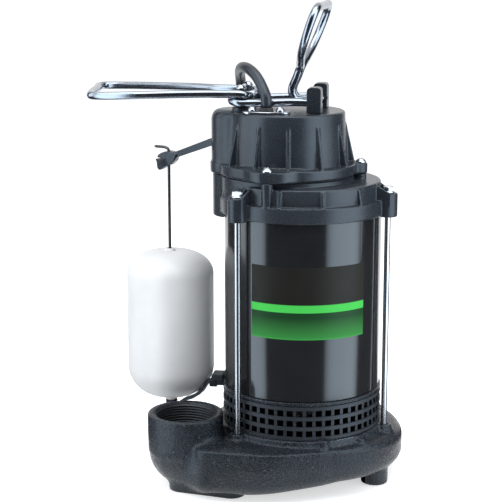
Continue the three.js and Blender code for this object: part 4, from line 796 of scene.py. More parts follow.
def casting_shape(step=1.0):
    """The base: body, water way, elbow and boss, seat, rod bosses and feet, melted together."""
    low, above = (-127.0, -87.0, -2.0), 70.0
    here = x, y, z = space(low, (88.0, 90.0, 65.0), step)
    elbow = np.sqrt((x - OUTLET[0]) ** 2 + (y - OUTLET[1]) ** 2 + (z - ELBOW_Z) ** 2) - ELBOW_RADIUS
    boss = turned_field(here, from_axis(*rounded([
        (0, ELBOW_Z), (OUTLET_RADIUS - 1.5, ELBOW_Z), (OUTLET_RADIUS, DECK - 2),
        (OUTLET_RADIUS, OUTLET_TOP), (0, OUTLET_TOP),
    ], (0, 2, 4, 1.6, 0), 4)), OUTLET)
    outside = melt(body_field(here), melt(elbow, boss, 4.0), 5.0 + 22.0 * np.clip((37 - z) / 24, 0, 1))
    outside = melt(outside, water_way_field(here, 0.8), 3.0)
    outside = melt(outside, turned_field(here, from_axis(
        (0, DECK - 2), (68.8, DECK - 2), (67.6, SEAT - 0.8), (66.8, SEAT), (0, SEAT)
    )), 2.0)
    for angle in ROD_ANGLES:
        outside = melt(outside, turned_field(here, from_axis(
            (0, DECK - 5), (8.6, DECK - 5), (8.2, DECK - 0.5), (6.3, DECK + 1.6), (6.1, SEAT), (0, SEAT)
        ), polar(ROD_CIRCLE, angle)), 2.5)
    for at, radius, top in (((15.3, -66.5), 3.6, SEAT + 1.5), ((45.5, -52), 3.2, DECK + 2.6)):
        outside = melt(outside, post_field(here, at, radius, DECK - 6, top, 0.8), 3.5)
    front_foot = bar_field(here, OUTLET - (2, 9.3), FRONT_FOOT_END, FRONT_FOOT_HALF, 0, FOOT_UNDER + 8, 1.6)
    outside = melt(outside, front_foot, 3.0)
    for angle in FOOT_ANGLES:
        foot = post_field(here, polar(FOOT_CIRCLE, angle), FOOT_RADIUS, 0, FOOT_UNDER + 5, 1.6)
        outside = melt(outside, foot, 3.0)
    outside = np.maximum(outside, -z)
    inside = turned_field(here, from_axis(
        (0, CHAMBER_FLOOR), (CHAMBER_RADIUS, CHAMBER_FLOOR), (CHAMBER_RADIUS, LEDGE),
        (LEDGE_RADIUS, LEDGE), (LEDGE_RADIUS, above), (0, above),
    ))
    inside = np.minimum(inside, water_way_field(here, 5.0))
    sleeve, flare = OUTLET_BORE + 0.1, OUTLET_BORE + 1.4
    inside = np.minimum(inside, turned_field(here, from_axis(
        (0, ELBOW_Z), (OUTLET_THROAT, ELBOW_Z), (OUTLET_THROAT, 40), (sleeve, 40.5),
        (sleeve, OUTLET_TOP - 1.2), (flare, OUTLET_TOP + 0.2), (flare, above + 10), (0, above + 10),
    ), OUTLET))
    for angle in ROD_ANGLES:
        hole = post_field(here, polar(ROD_CIRCLE, angle), ROD_RADIUS + CLEAR, 34.5, above)
        inside = np.minimum(inside, hole)
    return surface_of(carve(outside, inside, 0.8), low, step)


def thread_shape():
    """The mouth's thread: radius = bore - depth |saw(z / pitch - a / 2 pi)|, easing off at both ends,
    over a sleeve let into the casting."""
    pitch, depth, low, high = 2.21, 1.15, 40.6, OUTLET_TOP - 1.0
    sides, rows = 120, 150
    a = round_angles(sides)
    z = np.linspace(low, high, rows)[:, None]
    phase = np.mod(z / pitch - a / (2 * np.pi), 1.0)
    ease = np.clip((z - low) / 2, 0, 1) * np.clip((high - z) / 1.6, 0, 1)
    ridge = np.clip(1.25 - 2.5 * np.abs(phase - 0.5), 0, 1)
    inner = around(OUTLET_BORE + 0.05 - depth * ridge * ease, a, z, OUTLET)
    outer = around(OUTLET_BORE + 1.0, a, np.array(((high,), (low,))), OUTLET)
    return lofted(np.concatenate([inner, outer]), closed=True)


def seat_rim_highlight_shape():
    """Painted highlight on the seat's rim: three arcs of a thin band of bright metal, only on the front,
    where light catches the rim's top edge. Each is a rectangle of radius and height carried over its angles."""
    radius, height = np.array(((66.2, 46.3), (67.25, 46.3), (67.05, 48.2), (66.2, 48.2))).T
    arcs = (np.linspace(start, end, 9)[:, None] for start, end in ((-113, -101), (-68, -52), (-49, -43)))
    return gathered(*(lofted(around(radius, np.radians(arc), height)) for arc in arcs))


piece("base_casting", casting_shape(), cast_black, nodes=("volute_casting",), sharp=0)
# Bright metal arcs as a painted highlight on the seat's rim.
piece("seat_rim_highlight", seat_rim_highlight_shape(), bare_steel, sharp=40)
piece("mouth_thread", thread_shape(), machined_iron, sharp=50)


# ---------------------------------------------------------------- strainer and motor
def strainer_shape(columns=52):
    """A round wall as a lattice of cells in angle and height, whose radius steps back between the
    rings. Cells of the holes are left out, and a wall closes each edge between a kept cell and an
    open one. A ledge's two outer rows share one row inside."""
    share = 2 * np.pi / columns
    web = 0.34
    marks = np.array((0.0, web / 2, 0.5, 1 - web / 2))
    angles = (np.arange(columns)[:, None] * share + marks * share).ravel()
    solid_columns = np.tile(np.array((True, False, False, True)), columns)
    ledges = np.array((2.4, 7.7, 10.6, 15.9, 18.8, 24.1))
    heights = np.concatenate([[0], np.repeat(ledges, 2), [STRAINER_TOP - STRAINER_LOW]]) + STRAINER_LOW
    set_back = np.tile(np.array((0, 0, 1, 1)), 4)[:len(heights)] * WEB_SET_BACK
    solid_rows = np.tile(np.array((True, True, False, True)), 4)[:len(heights) - 1]
    ledge_rows = np.tile(np.array((False, True)), 7)[:len(heights) - 1]
    kept = solid_columns[:, None] | solid_rows
    n, m = len(angles), len(heights)
    radii = np.stack([STRAINER_RADIUS - set_back, np.full(m, STRAINER_RADIUS - STRAINER_WALL)])[:, None]
    points = around(radii, angles[:, None], heights).reshape(-1, 3)
    one_inside = np.arange(m) - (np.arange(m) % 2 == 0) * (np.arange(m) > 0)

    def quads(cells, *corners):
        """One quad for each cell (i, j). A corner is (0 outside or 1 inside, steps in i, steps in j)."""
        i, j = np.nonzero(cells)
        rows = (np.arange(m), one_inside)
        return np.stack([(wall * n + (i + di) % n) * m + rows[wall][j + dj] for wall, di, dj in corners], 1)

    after = np.roll(kept, -1, 0)
    level = np.pad(kept, ((0, 0), (1, 1)))
    return points, [np.concatenate([
        quads(kept, (0, 0, 0), (0, 1, 0), (0, 1, 1), (0, 0, 1)),
        quads(kept & ~ledge_rows, (1, 0, 0), (1, 0, 1), (1, 1, 1), (1, 1, 0)),
        quads(kept & ~after, (0, 1, 0), (1, 1, 0), (1, 1, 1), (0, 1, 1)),
        quads(~kept & after, (0, 1, 0), (0, 1, 1), (1, 1, 1), (1, 1, 0)),
        quads(level[:, :-1] & ~level[:, 1:], (0, 0, 0), (0, 1, 0), (1, 1, 0), (1, 0, 0)),
        quads(~level[:, :-1] & level[:, 1:], (0, 0, 0), (1, 0, 0), (1, 1, 0), (0, 1, 0)),
    ])]


def guide_lug_shape():
    """The lug beside the can: its side outline carried across the lug's width, drawn in at both ends."""
    c, s = polar(1.0, GUIDE_ANGLE)
    inner, back, front = CAN_RADIUS + CLEAR, STRAINER_RADIUS - 2.2, STRAINER_RADIUS + 0.35
    outline = rounded([
        (back, 72.9), (inner + 6, 72.9), (inner + 6, 77.5), (inner + 11, 77.5), (inner + 11, 82.0),
        (front, 82.0), (front, 76.0), (back, STRAINER_TOP),
    ], (0, 0.6, 1.2, 0.8, 1.6, 0.8, 0, 0), 3)
    across = np.array((-7.0, -6.6, 6.6, 7.0))[:, None]
    shrink = 1 - np.array((0.5, 0.0, 0.0, 0.5)) / 6
    middle = outline.mean(0)
    u, v = np.moveaxis(middle + (outline - middle) * shrink[:, None, None], -1, 0)
    return lofted(np.stack([u * c - across * s, u * s + across * c, v], -1))


piece(
    "strainer_cage", gathered(strainer_shape(), guide_lug_shape()), strainer_black,
    nodes=("strainer",), bevel=0.28, sharp=40,
)

spigot = CAN_RADIUS - CAN_WALL - CLEAR
plate_profile = rounded([
    (BEARING_ROOM, 62.2), (14, 62.2), (17, 77.2), (STRAINER_RADIUS - 3.5, PLATE_LOW + 0.2),
    (STRAINER_RADIUS, PLATE_LOW), (STRAINER_RADIUS, PLATE_TOP), (spigot, PLATE_TOP), (spigot, 87.2),
    (spigot - 4, 87.2), (spigot - 6, PLATE_TOP), (14, 83.2), (BEARING_ROOM, 83.2),
], (0, 1, 3, 0, 0.8, 0.8, 0, 0.8, 0.8, 2, 2, 0), 3)
piece("end_plate", turned(plate_profile, 128), cast_black, nodes=("lower_motor_plate",))

can_profile = rounded([
    (CAN_RADIUS - CAN_WALL, CAN_LOW), (CAN_RADIUS, CAN_LOW),
    (CAN_RADIUS, CAN_TOP), (CAN_RADIUS - CAN_WALL, CAN_TOP),
], 0.5, 3)
piece("motor_shell", turned(can_profile, 192), can_enamel, nodes=("motor_can",))

LABEL_ANGLE, LABEL_HALF, LABEL_LOW, LABEL_HIGH, LABEL_LIFT = -86.9, 43.6, 130.2, 188.0, 0.16
LABEL_COLUMNS, LABEL_ROWS = 61, 9


def label_shape():
    """A thin sheet round the can: a grid of angle and height, its rim turned down to the paint."""
    a = np.radians(np.linspace(LABEL_ANGLE - LABEL_HALF, LABEL_ANGLE + LABEL_HALF, LABEL_COLUMNS))[:, None]
    z = np.linspace(LABEL_LOW, LABEL_HIGH, LABEL_ROWS)
    r = np.array((CAN_RADIUS - 0.05, CAN_RADIUS + LABEL_LIFT))[:, None, None]
    count = LABEL_COLUMNS * LABEL_ROWS
    sheet = grid_faces(LABEL_COLUMNS, LABEL_ROWS)
    rim = grid_rim(LABEL_COLUMNS, LABEL_ROWS)
    after = np.roll(rim, -1)
    wall = np.stack([rim, after, after + count, rim + count], 1)
    return around(r, a, z).reshape(-1, 3), [np.concatenate([sheet[:, ::-1], sheet + count, wall])]


def mapped_label(mesh):
    """The label's own map: each corner's share of the angle and of the height."""
    corners = np.empty(len(mesh.loops), np.int32)
    mesh.loops.foreach_get("vertex_index", corners)
    column, row = np.divmod(corners % (LABEL_COLUMNS * LABEL_ROWS), LABEL_ROWS)
    shares = np.stack([column / (LABEL_COLUMNS - 1), row / (LABEL_ROWS - 1)], 1)
    mesh.uv_layers.new(name="label").data.foreach_set("uv", shares.astype(np.float32).ravel())


mapped_label(piece("label_sheet", label_shape(), label_bands, sharp=30).data)


# ---------------------------------------------------------------- motor cap
def cap_shape(step=0.75):
    """The cap: rim, ribbed tier, collar and switch well melted together, with lugs, webs and screw
    posts."""
    low, under, above = (-82.0, -82.0, 209.0), 181.8, 280.0
    here = space(low, (82.0, 82.0, 253.0), step)
    bulge = from_cover([(-BULGE_REACH, 0, 0)])[0]
    screws = [from_cover([(*polar(SCREW_CIRCLE, angle), 0)])[0] for angle in COVER_SCREWS]
    rim = turned_field(here, from_axis(*rounded([
        (0, RIM_LOW), (RIM_RADIUS, RIM_LOW), (RIM_RADIUS, RIM_TOP),
        (TIER_RADIUS, RIM_TOP), (TIER_RADIUS, TIER_TOP), (0, TIER_TOP),
    ], (0, 0.8, 1.1, 1.0, 1.8, 0), 4)))
    outside = melt(rim, post_field(here, COVER_AT, FLANGE_RADIUS - 1.5, RIM_TOP, COLLAR, 0.5), 1.6)
    outside = melt(outside, post_field(here, bulge, BULGE_RADIUS - 1, RIM_LOW - 5, COLLAR, 1.2), 3.5)
    ribs = fan_field(here, [
        (TIER_RADIUS - 6, RIM_TOP - 2), (RIM_RADIUS - 0.8, RIM_TOP - 2), (RIM_RADIUS - 0.8, RIM_TOP),
        (TIER_RADIUS + 1.0, TIER_TOP - 1.4), (TIER_RADIUS - 6, TIER_TOP - 1.4),
    ], 1.3, 12, ROD_ANGLES[1])
    outside = melt(outside, ribs, 0.9)
    web = [
        (TIER_RADIUS - 8, RIM_TOP - 4), (ROD_CIRCLE + 3.4, RIM_TOP - 4), (ROD_CIRCLE + 3.4, LUG_TOP + 0.4),
        (TIER_RADIUS - 2.0, TIER_TOP - 0.3), (TIER_RADIUS - 8, TIER_TOP - 0.3),
    ]
    for angle in ROD_ANGLES:
        lug = post_field(here, polar(ROD_CIRCLE, angle), LUG_RADIUS, LUG_LOW, LUG_TOP, 1.0)
        outside = melt(outside, lug, 1.6)
        for side in (-1, 1):
            outside = melt(outside, plate_field(here, web, 1.1, angle, polar(side * 6.4, angle + 90)), 0.8)
    post_top = COVER_LOW - 0.1
    post = from_axis((0, RIM_TOP - 1), (4.0, RIM_TOP - 1), (4.7, COLLAR), (4.5, post_top), (0, post_top))
    for at in screws:
        outside = melt(outside, turned_field(here, post, at), 1.0)
    roof = CAN_TOP + CLEAR
    outside = carve(outside, post_field(here, (0, 0), CAN_RADIUS + CLEAR, under, roof), 0.5)
    outside = melt(outside, post_field(here, (0, 0), BEARING_ROOM + 3, 209.8, 229.5), 0.5)
    well = np.minimum(
        post_field(here, COVER_AT, COVER_HEAD - WELL_WALL, WELL_FLOOR, above),
        post_field(here, bulge, BULGE_RADIUS - WELL_WALL, WELL_FLOOR, above),
    )
    holes = post_field(here, (0, 0), BEARING_ROOM, under, roof)
    for angle in ROD_ANGLES:
        rod_hole = post_field(here, polar(ROD_CIRCLE, angle), ROD_RADIUS + CLEAR, under, above)
        holes = np.minimum(holes, rod_hole)
    for at in screws:
        holes = np.minimum(holes, post_field(here, at, SCREW_RADIUS + CLEAR, 239.7, above))
    return surface_of(carve(carve(outside, well, 0.5), holes, 0.3), low, step)


piece("cap_moulding", cap_shape(), cap_black, nodes=("motor_cap",), sharp=0)


# ---------------------------------------------------------------- switch cover
def cover_shape(step=0.7):
    """The cover in its own frame: wall, bulge, flange, lugs, ribs and eye bosses, hollow, with cheeks
    beside the lever and a slot for its swing."""
    low, past = (-64.0, -62.0, -2.0), 10.0
    here = space(low, (66.0, 62.0, 56.0), step)
    middle, bulge_at = (0.0, 0.0), (-BULGE_REACH, 0.0)
    wall = turned_field(here, from_axis(*rounded([
        (0, 0), (COVER_FOOT, 0), (COVER_HEAD, COVER_HEIGHT), (0, COVER_HEIGHT)
    ], (0, 0, 2.2, 0), 5)))
    bulge = turned_field(here, from_axis(*rounded([
        (0, 0), (BULGE_RADIUS, 0), (BULGE_RADIUS, COVER_HEIGHT + 0.6), (0, COVER_HEIGHT + 0.6)
    ], (0, 0, 9, 0), 8)), bulge_at)
    outside = melt(wall, bulge, 2.5)
    flange = np.minimum(
        post_field(here, middle, FLANGE_RADIUS, 0, FLANGE_THICK, 0.9),
        post_field(here, bulge_at, BULGE_RADIUS + 1, 0, FLANGE_THICK, 0.9),
    )
    for angle, (reach, radius) in zip(COVER_SCREWS, FLANGE_LOBES):
        flange = melt(flange, post_field(here, polar(reach, angle), radius, 0, FLANGE_THICK, 0.9), 4.0)
    outside = melt(outside, flange, 1.6)
    ribs = fan_field(here, [
        (COVER_HEAD - 8, FLANGE_THICK - 2), (FLANGE_RADIUS - 1.2, FLANGE_THICK - 2),
        (FLANGE_RADIUS - 1.2, FLANGE_THICK), (COVER_HEAD + 0.9, COVER_HEIGHT - 9.5),
        (COVER_HEAD - 8, COVER_HEIGHT - 9.5),
    ], 1.2, 12, -81)
    from_bulge = np.abs(np.arctan2(here[1], -here[0]))
    outside = melt(outside, np.where(from_bulge < math.radians(30), 9.0, ribs), 1.0)
    for side in (-1, 1):
        eye = post_field(here, (EYE_SET, side * EYE_ACROSS), 7.0, COVER_HEIGHT - 3, COVER_HEIGHT + 3.6, 0.7)
        outside = melt(outside, eye, 1.5)
    shell = carve(outside, np.minimum(
        post_field(here, middle, COVER_HEAD - COVER_WALL, -past, COVER_HEIGHT - COVER_WALL),
        post_field(here, bulge_at, BULGE_RADIUS - COVER_WALL, -past, COVER_HEIGHT - COVER_WALL),
    ), 0.5)
    arm = LEVER_ANGLE - COVER_TURN
    cheek = [(-4.5, LEVER_RISE - 5), (4.5, LEVER_RISE - 5), (4.5, 49), (-4.5, 49)]
    for side in (-6.0, 6.0):
        shell = melt(shell, plate_field(here, cheek, 1.5, arm, (PIVOT_SET, 0.0) + polar(side, arm + 90)), 0.4)
    falls = LEVER_DROP / LEVER_REACH
    rises = math.tan(math.radians(LEVER_SWING) - math.atan2(LEVER_DROP, LEVER_REACH))
    holes = plate_field(here, [
        (2, LEVER_RISE - 4.7 - 2 * falls), (12, LEVER_RISE - 4.7 - 12 * falls),
        (12, LEVER_RISE + 4.7 + 12 * rises), (2, LEVER_RISE + 4.7 + 2 * rises),
    ], 3.7, arm, (PIVOT_SET, 0.0))
    roof, above, hole = COVER_HEIGHT - 2.5, COVER_HEIGHT + past, SCREW_RADIUS + CLEAR
    for angle in COVER_SCREWS:
        holes = np.minimum(holes, post_field(here, polar(SCREW_CIRCLE, angle), hole, -past, 20))
    for side in (-1, 1):
        plate_screw = (CORD_PLATE_AT[0] + side * PLATE_SCREW_SET, CORD_PLATE_AT[1])
        holes = np.minimum(holes, post_field(here, (EYE_SET, side * EYE_ACROSS), hole, roof, above))
        holes = np.minimum(holes, post_field(here, plate_screw, PLATE_SCREW_RADIUS + CLEAR, roof, above))
    holes = np.minimum(holes, post_field(here, CORD_PLATE_AT, CORD_HOLE, COVER_HEIGHT - past, above))
    return on_cover(surface_of(carve(shell, holes, 0.4), low, step))


def spigot_shape(side):
    """The post that each eye of the wire winds round: a ring section carried round its axis."""
    hole, outer = SCREW_RADIUS + CLEAR, EYE_RADIUS - WIRE_RADIUS - 0.8
    section = rounded([(hole, 53.0), (outer, 53.0), (outer, 67.4), (hole, 67.4)], 0.4, 2)
    return on_cover(turned(section, 40, (EYE_SET, side * EYE_ACROSS)))


piece(
    "cover_moulding", gathered(cover_shape(), spigot_shape(-1), spigot_shape(1)), cap_black,
    nodes=("switch_cover",), sharp=0,
)


# ---------------------------------------------------------------- rods and screws
def tie_rod_shape(at):
    """A round rod with a washer and a hexagon head, its top edge chamfered as a cone cuts it: the
    head's radius is the lesser of the hexagon's and the cone's."""
    top = LUG_TOP + CLEAR
    rod = solid_turned(rounded([
        (0, 35.5), (1.9, 35.5), (ROD_RADIUS, 36.5), (ROD_RADIUS, top + 1), (0, top + 1)
    ], (0, 0.2, 0.2, 0, 0), 2, closed=False), 32, at)
    washer = solid_turned(rounded([
        (0, top), (5.0, top), (5.0, top + 0.7), (3.9, top + 1.7), (0, top + 1.7)
    ], (0, 0.25, 0.25, 0.4, 0), 2, closed=False), 48, at)
    a = round_angles(48)
    hexagon = 4.0 / np.cos(np.mod(a + np.pi / 6, np.pi / 3) - np.pi / 6)
    rise, cone = np.array(((1.0, 9.0), (4.1, 9.0), (4.6, 4.15), (5.0, 3.5))).T[..., None]
    return gathered(rod, washer, lofted(around(np.minimum(hexagon, cone), a, top + rise, at)))


for number, angle in enumerate(ROD_ANGLES, 1):
    piece(f"plated_rod_{number}", tie_rod_shape(polar(ROD_CIRCLE, angle)), rod_steel,
          nodes=(f"tie_rod_{number}",), sharp=30)


def pan_head_shape(radius, rise, turn):
    """A domed head on a grid bent from square to round: height = rise (1 - 0.75 (r / R)^2.6), less a
    cross recess whose depth eases off over its walls."""
    n = 37
    u, v = np.meshgrid(np.linspace(-1, 1, n), np.linspace(-1, 1, n), indexing="ij")
    px, py = u * np.sqrt(1 - v * v / 2), v * np.sqrt(1 - u * u / 2)
    r = np.hypot(px, py)
    x, y = px * radius, py * radius
    c, s = polar(1.0, turn)
    cx, cy = np.abs(x * c + y * s), np.abs(y * c - x * s)
    long, wide = radius * 0.56, radius * 0.13
    arm_gap = np.minimum(np.maximum(cx - long, cy - wide), np.maximum(cy - long, cx - wide))
    depth = np.clip(-arm_gap / (radius * 0.12), 0, 1) * radius * 0.42
    top = np.stack([x, y, rise * (1 - 0.75 * r**2.6) - depth], -1).reshape(-1, 3)
    edge = grid_rim(n, n)
    below = len(top) + np.arange(len(edge))
    after = np.roll(below, -1)
    wall = np.stack([edge, below, after, np.roll(edge, -1)], 1)
    floor = np.stack([below, np.full(len(edge), len(top) + len(edge)), after], 1)
    points = np.concatenate([top, top[edge] * (1, 1, 0), np.zeros((1, 3))])
    return points, [np.concatenate([grid_faces(n, n), wall]), floor]


def pan_screw(name, node, at, under, length, shank, turn, radius=4.2):
    """A pan-head screw in the cover's frame, over the CAD node that it replaces."""
    head, faces = pan_head_shape(radius, 3.4, turn)
    low, top = under - length, under + 0.5
    stem = solid_turned([(0, low), (shank * 0.8, low), (shank, low + 0.6), (shank, top), (0, top)], 20, at)
    shape = on_cover(gathered((head + np.array((at[0], at[1], under)), faces), stem))
    piece(name, shape, bright_steel, nodes=(node,), sharp=30)


for number, angle in enumerate(COVER_SCREWS, 1):
    pan_screw(f"pan_screw_{number}", f"cover_screw_{number}", polar(SCREW_CIRCLE, angle),
              FLANGE_THICK + CLEAR, 20, SCREW_RADIUS, 17 * number)
for end, side in (("front", -1), ("rear", 1)):
    pan_screw(f"eye_screw_{end}", f"handle_screw_{end}", (EYE_SET, side * EYE_ACROSS),
              67.7, 17.7, SCREW_RADIUS, 33 * side)
for number, side in ((1, -1), (2, 1)):
    pan_screw(f"plate_screw_{number}", f"cord_plate_screw_{number}",
              (CORD_PLATE_AT[0] + side * PLATE_SCREW_SET, CORD_PLATE_AT[1]),
              COVER_HEIGHT + 2.2, 4.0, PLATE_SCREW_RADIUS, 41 * side, radius=3.4)


# ---------------------------------------------------------------- wire handle
def handle_side(side):
    """Points of one half of the wire in the cover's frame, from the side grip's middle over one turn
    of its eye to the upright grip's. The skew makes the two halves of the side grip differ."""
    line, grip = EYE_ACROSS + EYE_RADIUS, EYE_HIGH - 1
    skew, half = side * GRIP_SKEW, GRIP_HALF
    reach = GRIP_REACH + skew
    start = [
        (-GRIP_REACH - side * 0.2, 0.0, grip), (-GRIP_REACH - skew * 0.45, half * 0.45, grip),
        (-reach, half - 9, grip), (-reach + 3, half - 2, grip), (-reach + 10, half, grip),
        (-reach + 35, half - 3, EYE_HIGH - 0.5), (EYE_SET - 50, line + 9.5, EYE_HIGH),
        (EYE_SET - 28, line + 2.5, EYE_HIGH), (EYE_SET - 14, line + 0.3, EYE_HIGH),
    ]
    k = np.arange(17) / 16
    fall = EYE_HIGH + (EYE_LOW - EYE_HIGH) * k
    eye = around(EYE_RADIUS, np.radians(90 - 360 * k), fall, (EYE_SET, EYE_ACROSS))
    bar, bend, neck = EYE_LOW + 1.5, 6.6, WIRE_RADIUS + 0.9
    bars = [(EYE_SET + 16, line, EYE_LOW + 0.3), (CLIP_SET - 14.75, line, bar)]
    back = around(bend, np.radians(90 - 30 * np.arange(7)), bar, (19.3, line - bend))
    rises = (
        (16, neck), (27, neck), (34, neck + 1.2), (39, 15.12), (47, 29.4), (58, 39.06),
        (71, 43), (78.5, 40), (82, 33), (82, 16.8), (82, 0.0),
    )
    up = [(3.2 + 0.36 * (rise - 15), across, COVER_HEIGHT + rise) for rise, across in rises]
    points = np.concatenate([start, eye, bars, back, [(12, 6.6, bar), (6.5, 4.6, bar + 1)], up])
    return points * (1, side, 1)


front_side, rear_side = handle_side(-1), handle_side(1)
handle_line = smooth_line(np.concatenate([front_side[1:], rear_side[::-1][1:]]), 1.6, closed=True)
piece(
    "handle_rod", carried(from_cover(handle_line), circle(WIRE_RADIUS, 20), closed=True), bright_wire,
    nodes=("handle_wire",), sharp=0,
)


def clip_shape(side, step=0.4):
    """A moulded clip: a block with a rounded head, less the room round the wire that turns in it, which
    is the distance to the nearest of the wire's own stations."""
    at, low = side * CLIP_ACROSS, COVER_HEIGHT + CLEAR
    corner = (14.0, at - 9.0, 49.0)
    here = x, y, z = space(corner, (32.0, at + 9.0, 72.0), step)
    outline = rounded([(-4.4, low), (6.75, low), (6.75, low + 20), (-4.4, low + 20)], (0.4, 0.4, 3.2, 3.6), 4)
    block = plate_field(here, outline, 6.4, 0.0, (CLIP_SET, at))
    beside = (np.abs(handle_line[:, 0] - 20) < 18) & (handle_line[:, 1] * side > 2) & (handle_line[:, 2] < 64)
    gap = np.full(block.shape, 1e9, np.float32)
    for px, py, pz in handle_line[beside][::2]:
        gap = np.minimum(gap, (x - px) ** 2 + (y - py) ** 2 + (z - pz) ** 2)
    return on_cover(surface_of(carve(block, np.sqrt(gap) - WIRE_RADIUS - 0.35, 0.4), corner, step))


for end, side in (("front", -1), ("rear", 1)):
    piece(f"wire_clip_{end}", clip_shape(side), cap_black,
          nodes=(f"handle_clip_{end}",), sharp=50)


# ---------------------------------------------------------------- cord plate and gland
def cord_plate_shape():
    """A plate round the cord: each ray from the hole runs to the stadium's edge, and the section is
    carried round."""
    a = round_angles(128)
    r = CORD_PLATE_WIDE / 2
    half = CORD_PLATE_LONG / 2 - r
    c, s = np.abs(np.cos(a)), np.abs(np.sin(a))
    flat = r / np.maximum(s, 1e-6)
    arc = half * c + np.sqrt(np.maximum(r * r - (half * s) ** 2, 0))
    edge = np.where(flat * c <= half, flat, arc)
    low, high = COVER_HEIGHT + CLEAR, COVER_HEIGHT + 1.9
    hole = np.full(128, CORD_HOLE)
    radius = np.stack([hole, hole, edge - 0.35, edge, edge, edge - 0.2])
    height = np.array((low, high, high, high - 0.35, low + 0.2, low))[:, None]
    return on_cover(lofted(around(radius, a, height, CORD_PLATE_AT), closed=True))


piece("lead_plate", cord_plate_shape(), bright_steel, nodes=("cord_plate",), sharp=40)

gland_profile = rounded([
    (4.3, 28), (4.8, 28), (5.6, 42.5), (5.6, 52.4), (5.2, 54.9), (4.3, 54.9),
], (0, 0.4, 1, 1, 0.8, 0), 3)
piece("lead_gland", on_cover(turned(gland_profile, 48, CORD_PLATE_AT)), soft_rubber,
      nodes=("cord_gland",))


# ---------------------------------------------------------------- float switch
def lever_shape(step=0.4):
    """The arm in the plane of its swing, with its hub and the notched clip that holds the rod: outlines
    of (along, height) with a half width each, the clip's wider where it holds the rod."""
    low = (-11.0, -8.0, -32.0)
    u, v, z = space(low, (63.0, 8.0, 8.0), step)
    heel = 9 * LEVER_DROP / LEVER_REACH
    arm = upright_field(profile_field(u, z, rounded([
        (-9, heel - 2.4), (0, -3.4), (LEVER_REACH, -LEVER_DROP - 2.5),
        (LEVER_REACH, -LEVER_DROP + 2.5), (0, 3.4), (-9, heel + 2.4),
    ], (1.5, 2, 1, 1, 2, 1.5), 3)), v, -2.5, 2.5, 0.7)
    hub = upright_field(np.hypot(u, z) - 3.8, v, -3.8, 3.8, 0.4)
    clip = rounded([
        (-9, 3.2), (-4, 5.2), (1, 5.4), (5, 4.0), (8.2, 2.2), (9.4, -0.6), (10.8, -2.0), (9.6, -3.6),
        (9.2, -8.6), (7.8, -10.6), (5.2, -10.2), (1.5, -7.4), (-3.4, -5.6), (-7, -2.2),
    ], (1, 2, 1.5, 2, 2, 0.6, 0.5, 0.6, 1.5, 1, 1, 2, 1, 1), 3) + (LEVER_REACH, -LEVER_DROP)
    swell = 4.2 + 1.5 * np.exp(-(((u - LEVER_REACH) / 5) ** 2) - ((z + LEVER_DROP) / 5) ** 2)
    clip = upright_field(profile_field(u, z, clip), v, -swell, swell, 0.9)
    body = melt(melt(arm, hub, 0.8), clip, 1.5)
    notch = [(55.5, -20.4), (64, -20.0), (64, -18.8), (55.5, -19.2)]
    lean = math.tan(math.radians(LEVER_SWING)) * 12
    near, far = LEVER_REACH - SWITCH_ROD_SLOT, LEVER_REACH + SWITCH_ROD_SLOT
    way = [(near - lean, -31), (far, -31), (far, -19), (far + lean, -7), (near, -7), (near, -19)]
    cuts = np.minimum(
        upright_field(profile_field(u, z, notch), v, -9, 9),
        upright_field(profile_field(u, z, way), v, -SWITCH_ROD_SLOT, SWITCH_ROD_SLOT),
    )
    pin = np.hypot(u, z) - 1.9
    points, faces = surface_of(carve(body, np.minimum(cuts, pin), 0.3), low, step)
    across = np.array((-ARM[1], ARM[0], 0.0))
    return PIVOT + points[:, :1] * ARM + points[:, 1:2] * across + points[:, 2:] * (0, 0, 1), faces


piece("lever_arm", lever_shape(), cap_black, body="lever",
      nodes=("switch_lever",), sharp=0)


def switch_rod_shape():
    """A thin rod up through the clip, bent over it into a hook, its two ends drawn in."""
    hook = CLIP_RISE + CLEAR + SWITCH_ROD_RADIUS
    upright = np.array(((0, 17), (0, 120), (0, ROD_TOP[2] + hook - 6), (0, ROD_TOP[2] + hook - 3)))
    bent = np.array(((0.9, -0.9), (3, 0), (13, 0.4))) + (0, ROD_TOP[2] + hook)
    along, height = np.concatenate([upright, bent]).T[..., None]
    line = smooth_line(np.hstack([ROD_TOP[:2] + ARM[:2] * along, height]), 1.5)
    sizes = np.ones(len(line))
    sizes[[0, -1]] = 0.6
    return carried(line, circle(SWITCH_ROD_RADIUS, 14), first_up=(-ARM[1], ARM[0], 0), sizes=sizes)


piece("switch_rod", switch_rod_shape(), dull_steel, body="rod",
      nodes=("float_rod",), sharp=60)

stop_profile = rounded([
    (1.5, 48.7), (5, 48.7), (5, 50.1), (4.5, 50.4), (4.5, 51.0), (5, 51.3), (5, 52.7), (1.5, 52.7),
], (0.3, 0.5, 0.2, 0.1, 0.1, 0.2, 0.5, 0.3), 2)
piece("stop_collar", turned(stop_profile, 40, ROD_TOP[:2]), soft_rubber,
      body="rod", nodes=("rod_stop",))


def float_under(r):
    """Height of the float's underside at a radius: a quarter ellipse below its straight side."""
    t = np.clip((r - FLOAT_RADIUS + FLOAT_UNDER[0]) / FLOAT_UNDER[0], 0, 1)
    return FLOAT_BASE + FLOAT_UNDER[1] * (1 - np.sqrt(1 - t * t))


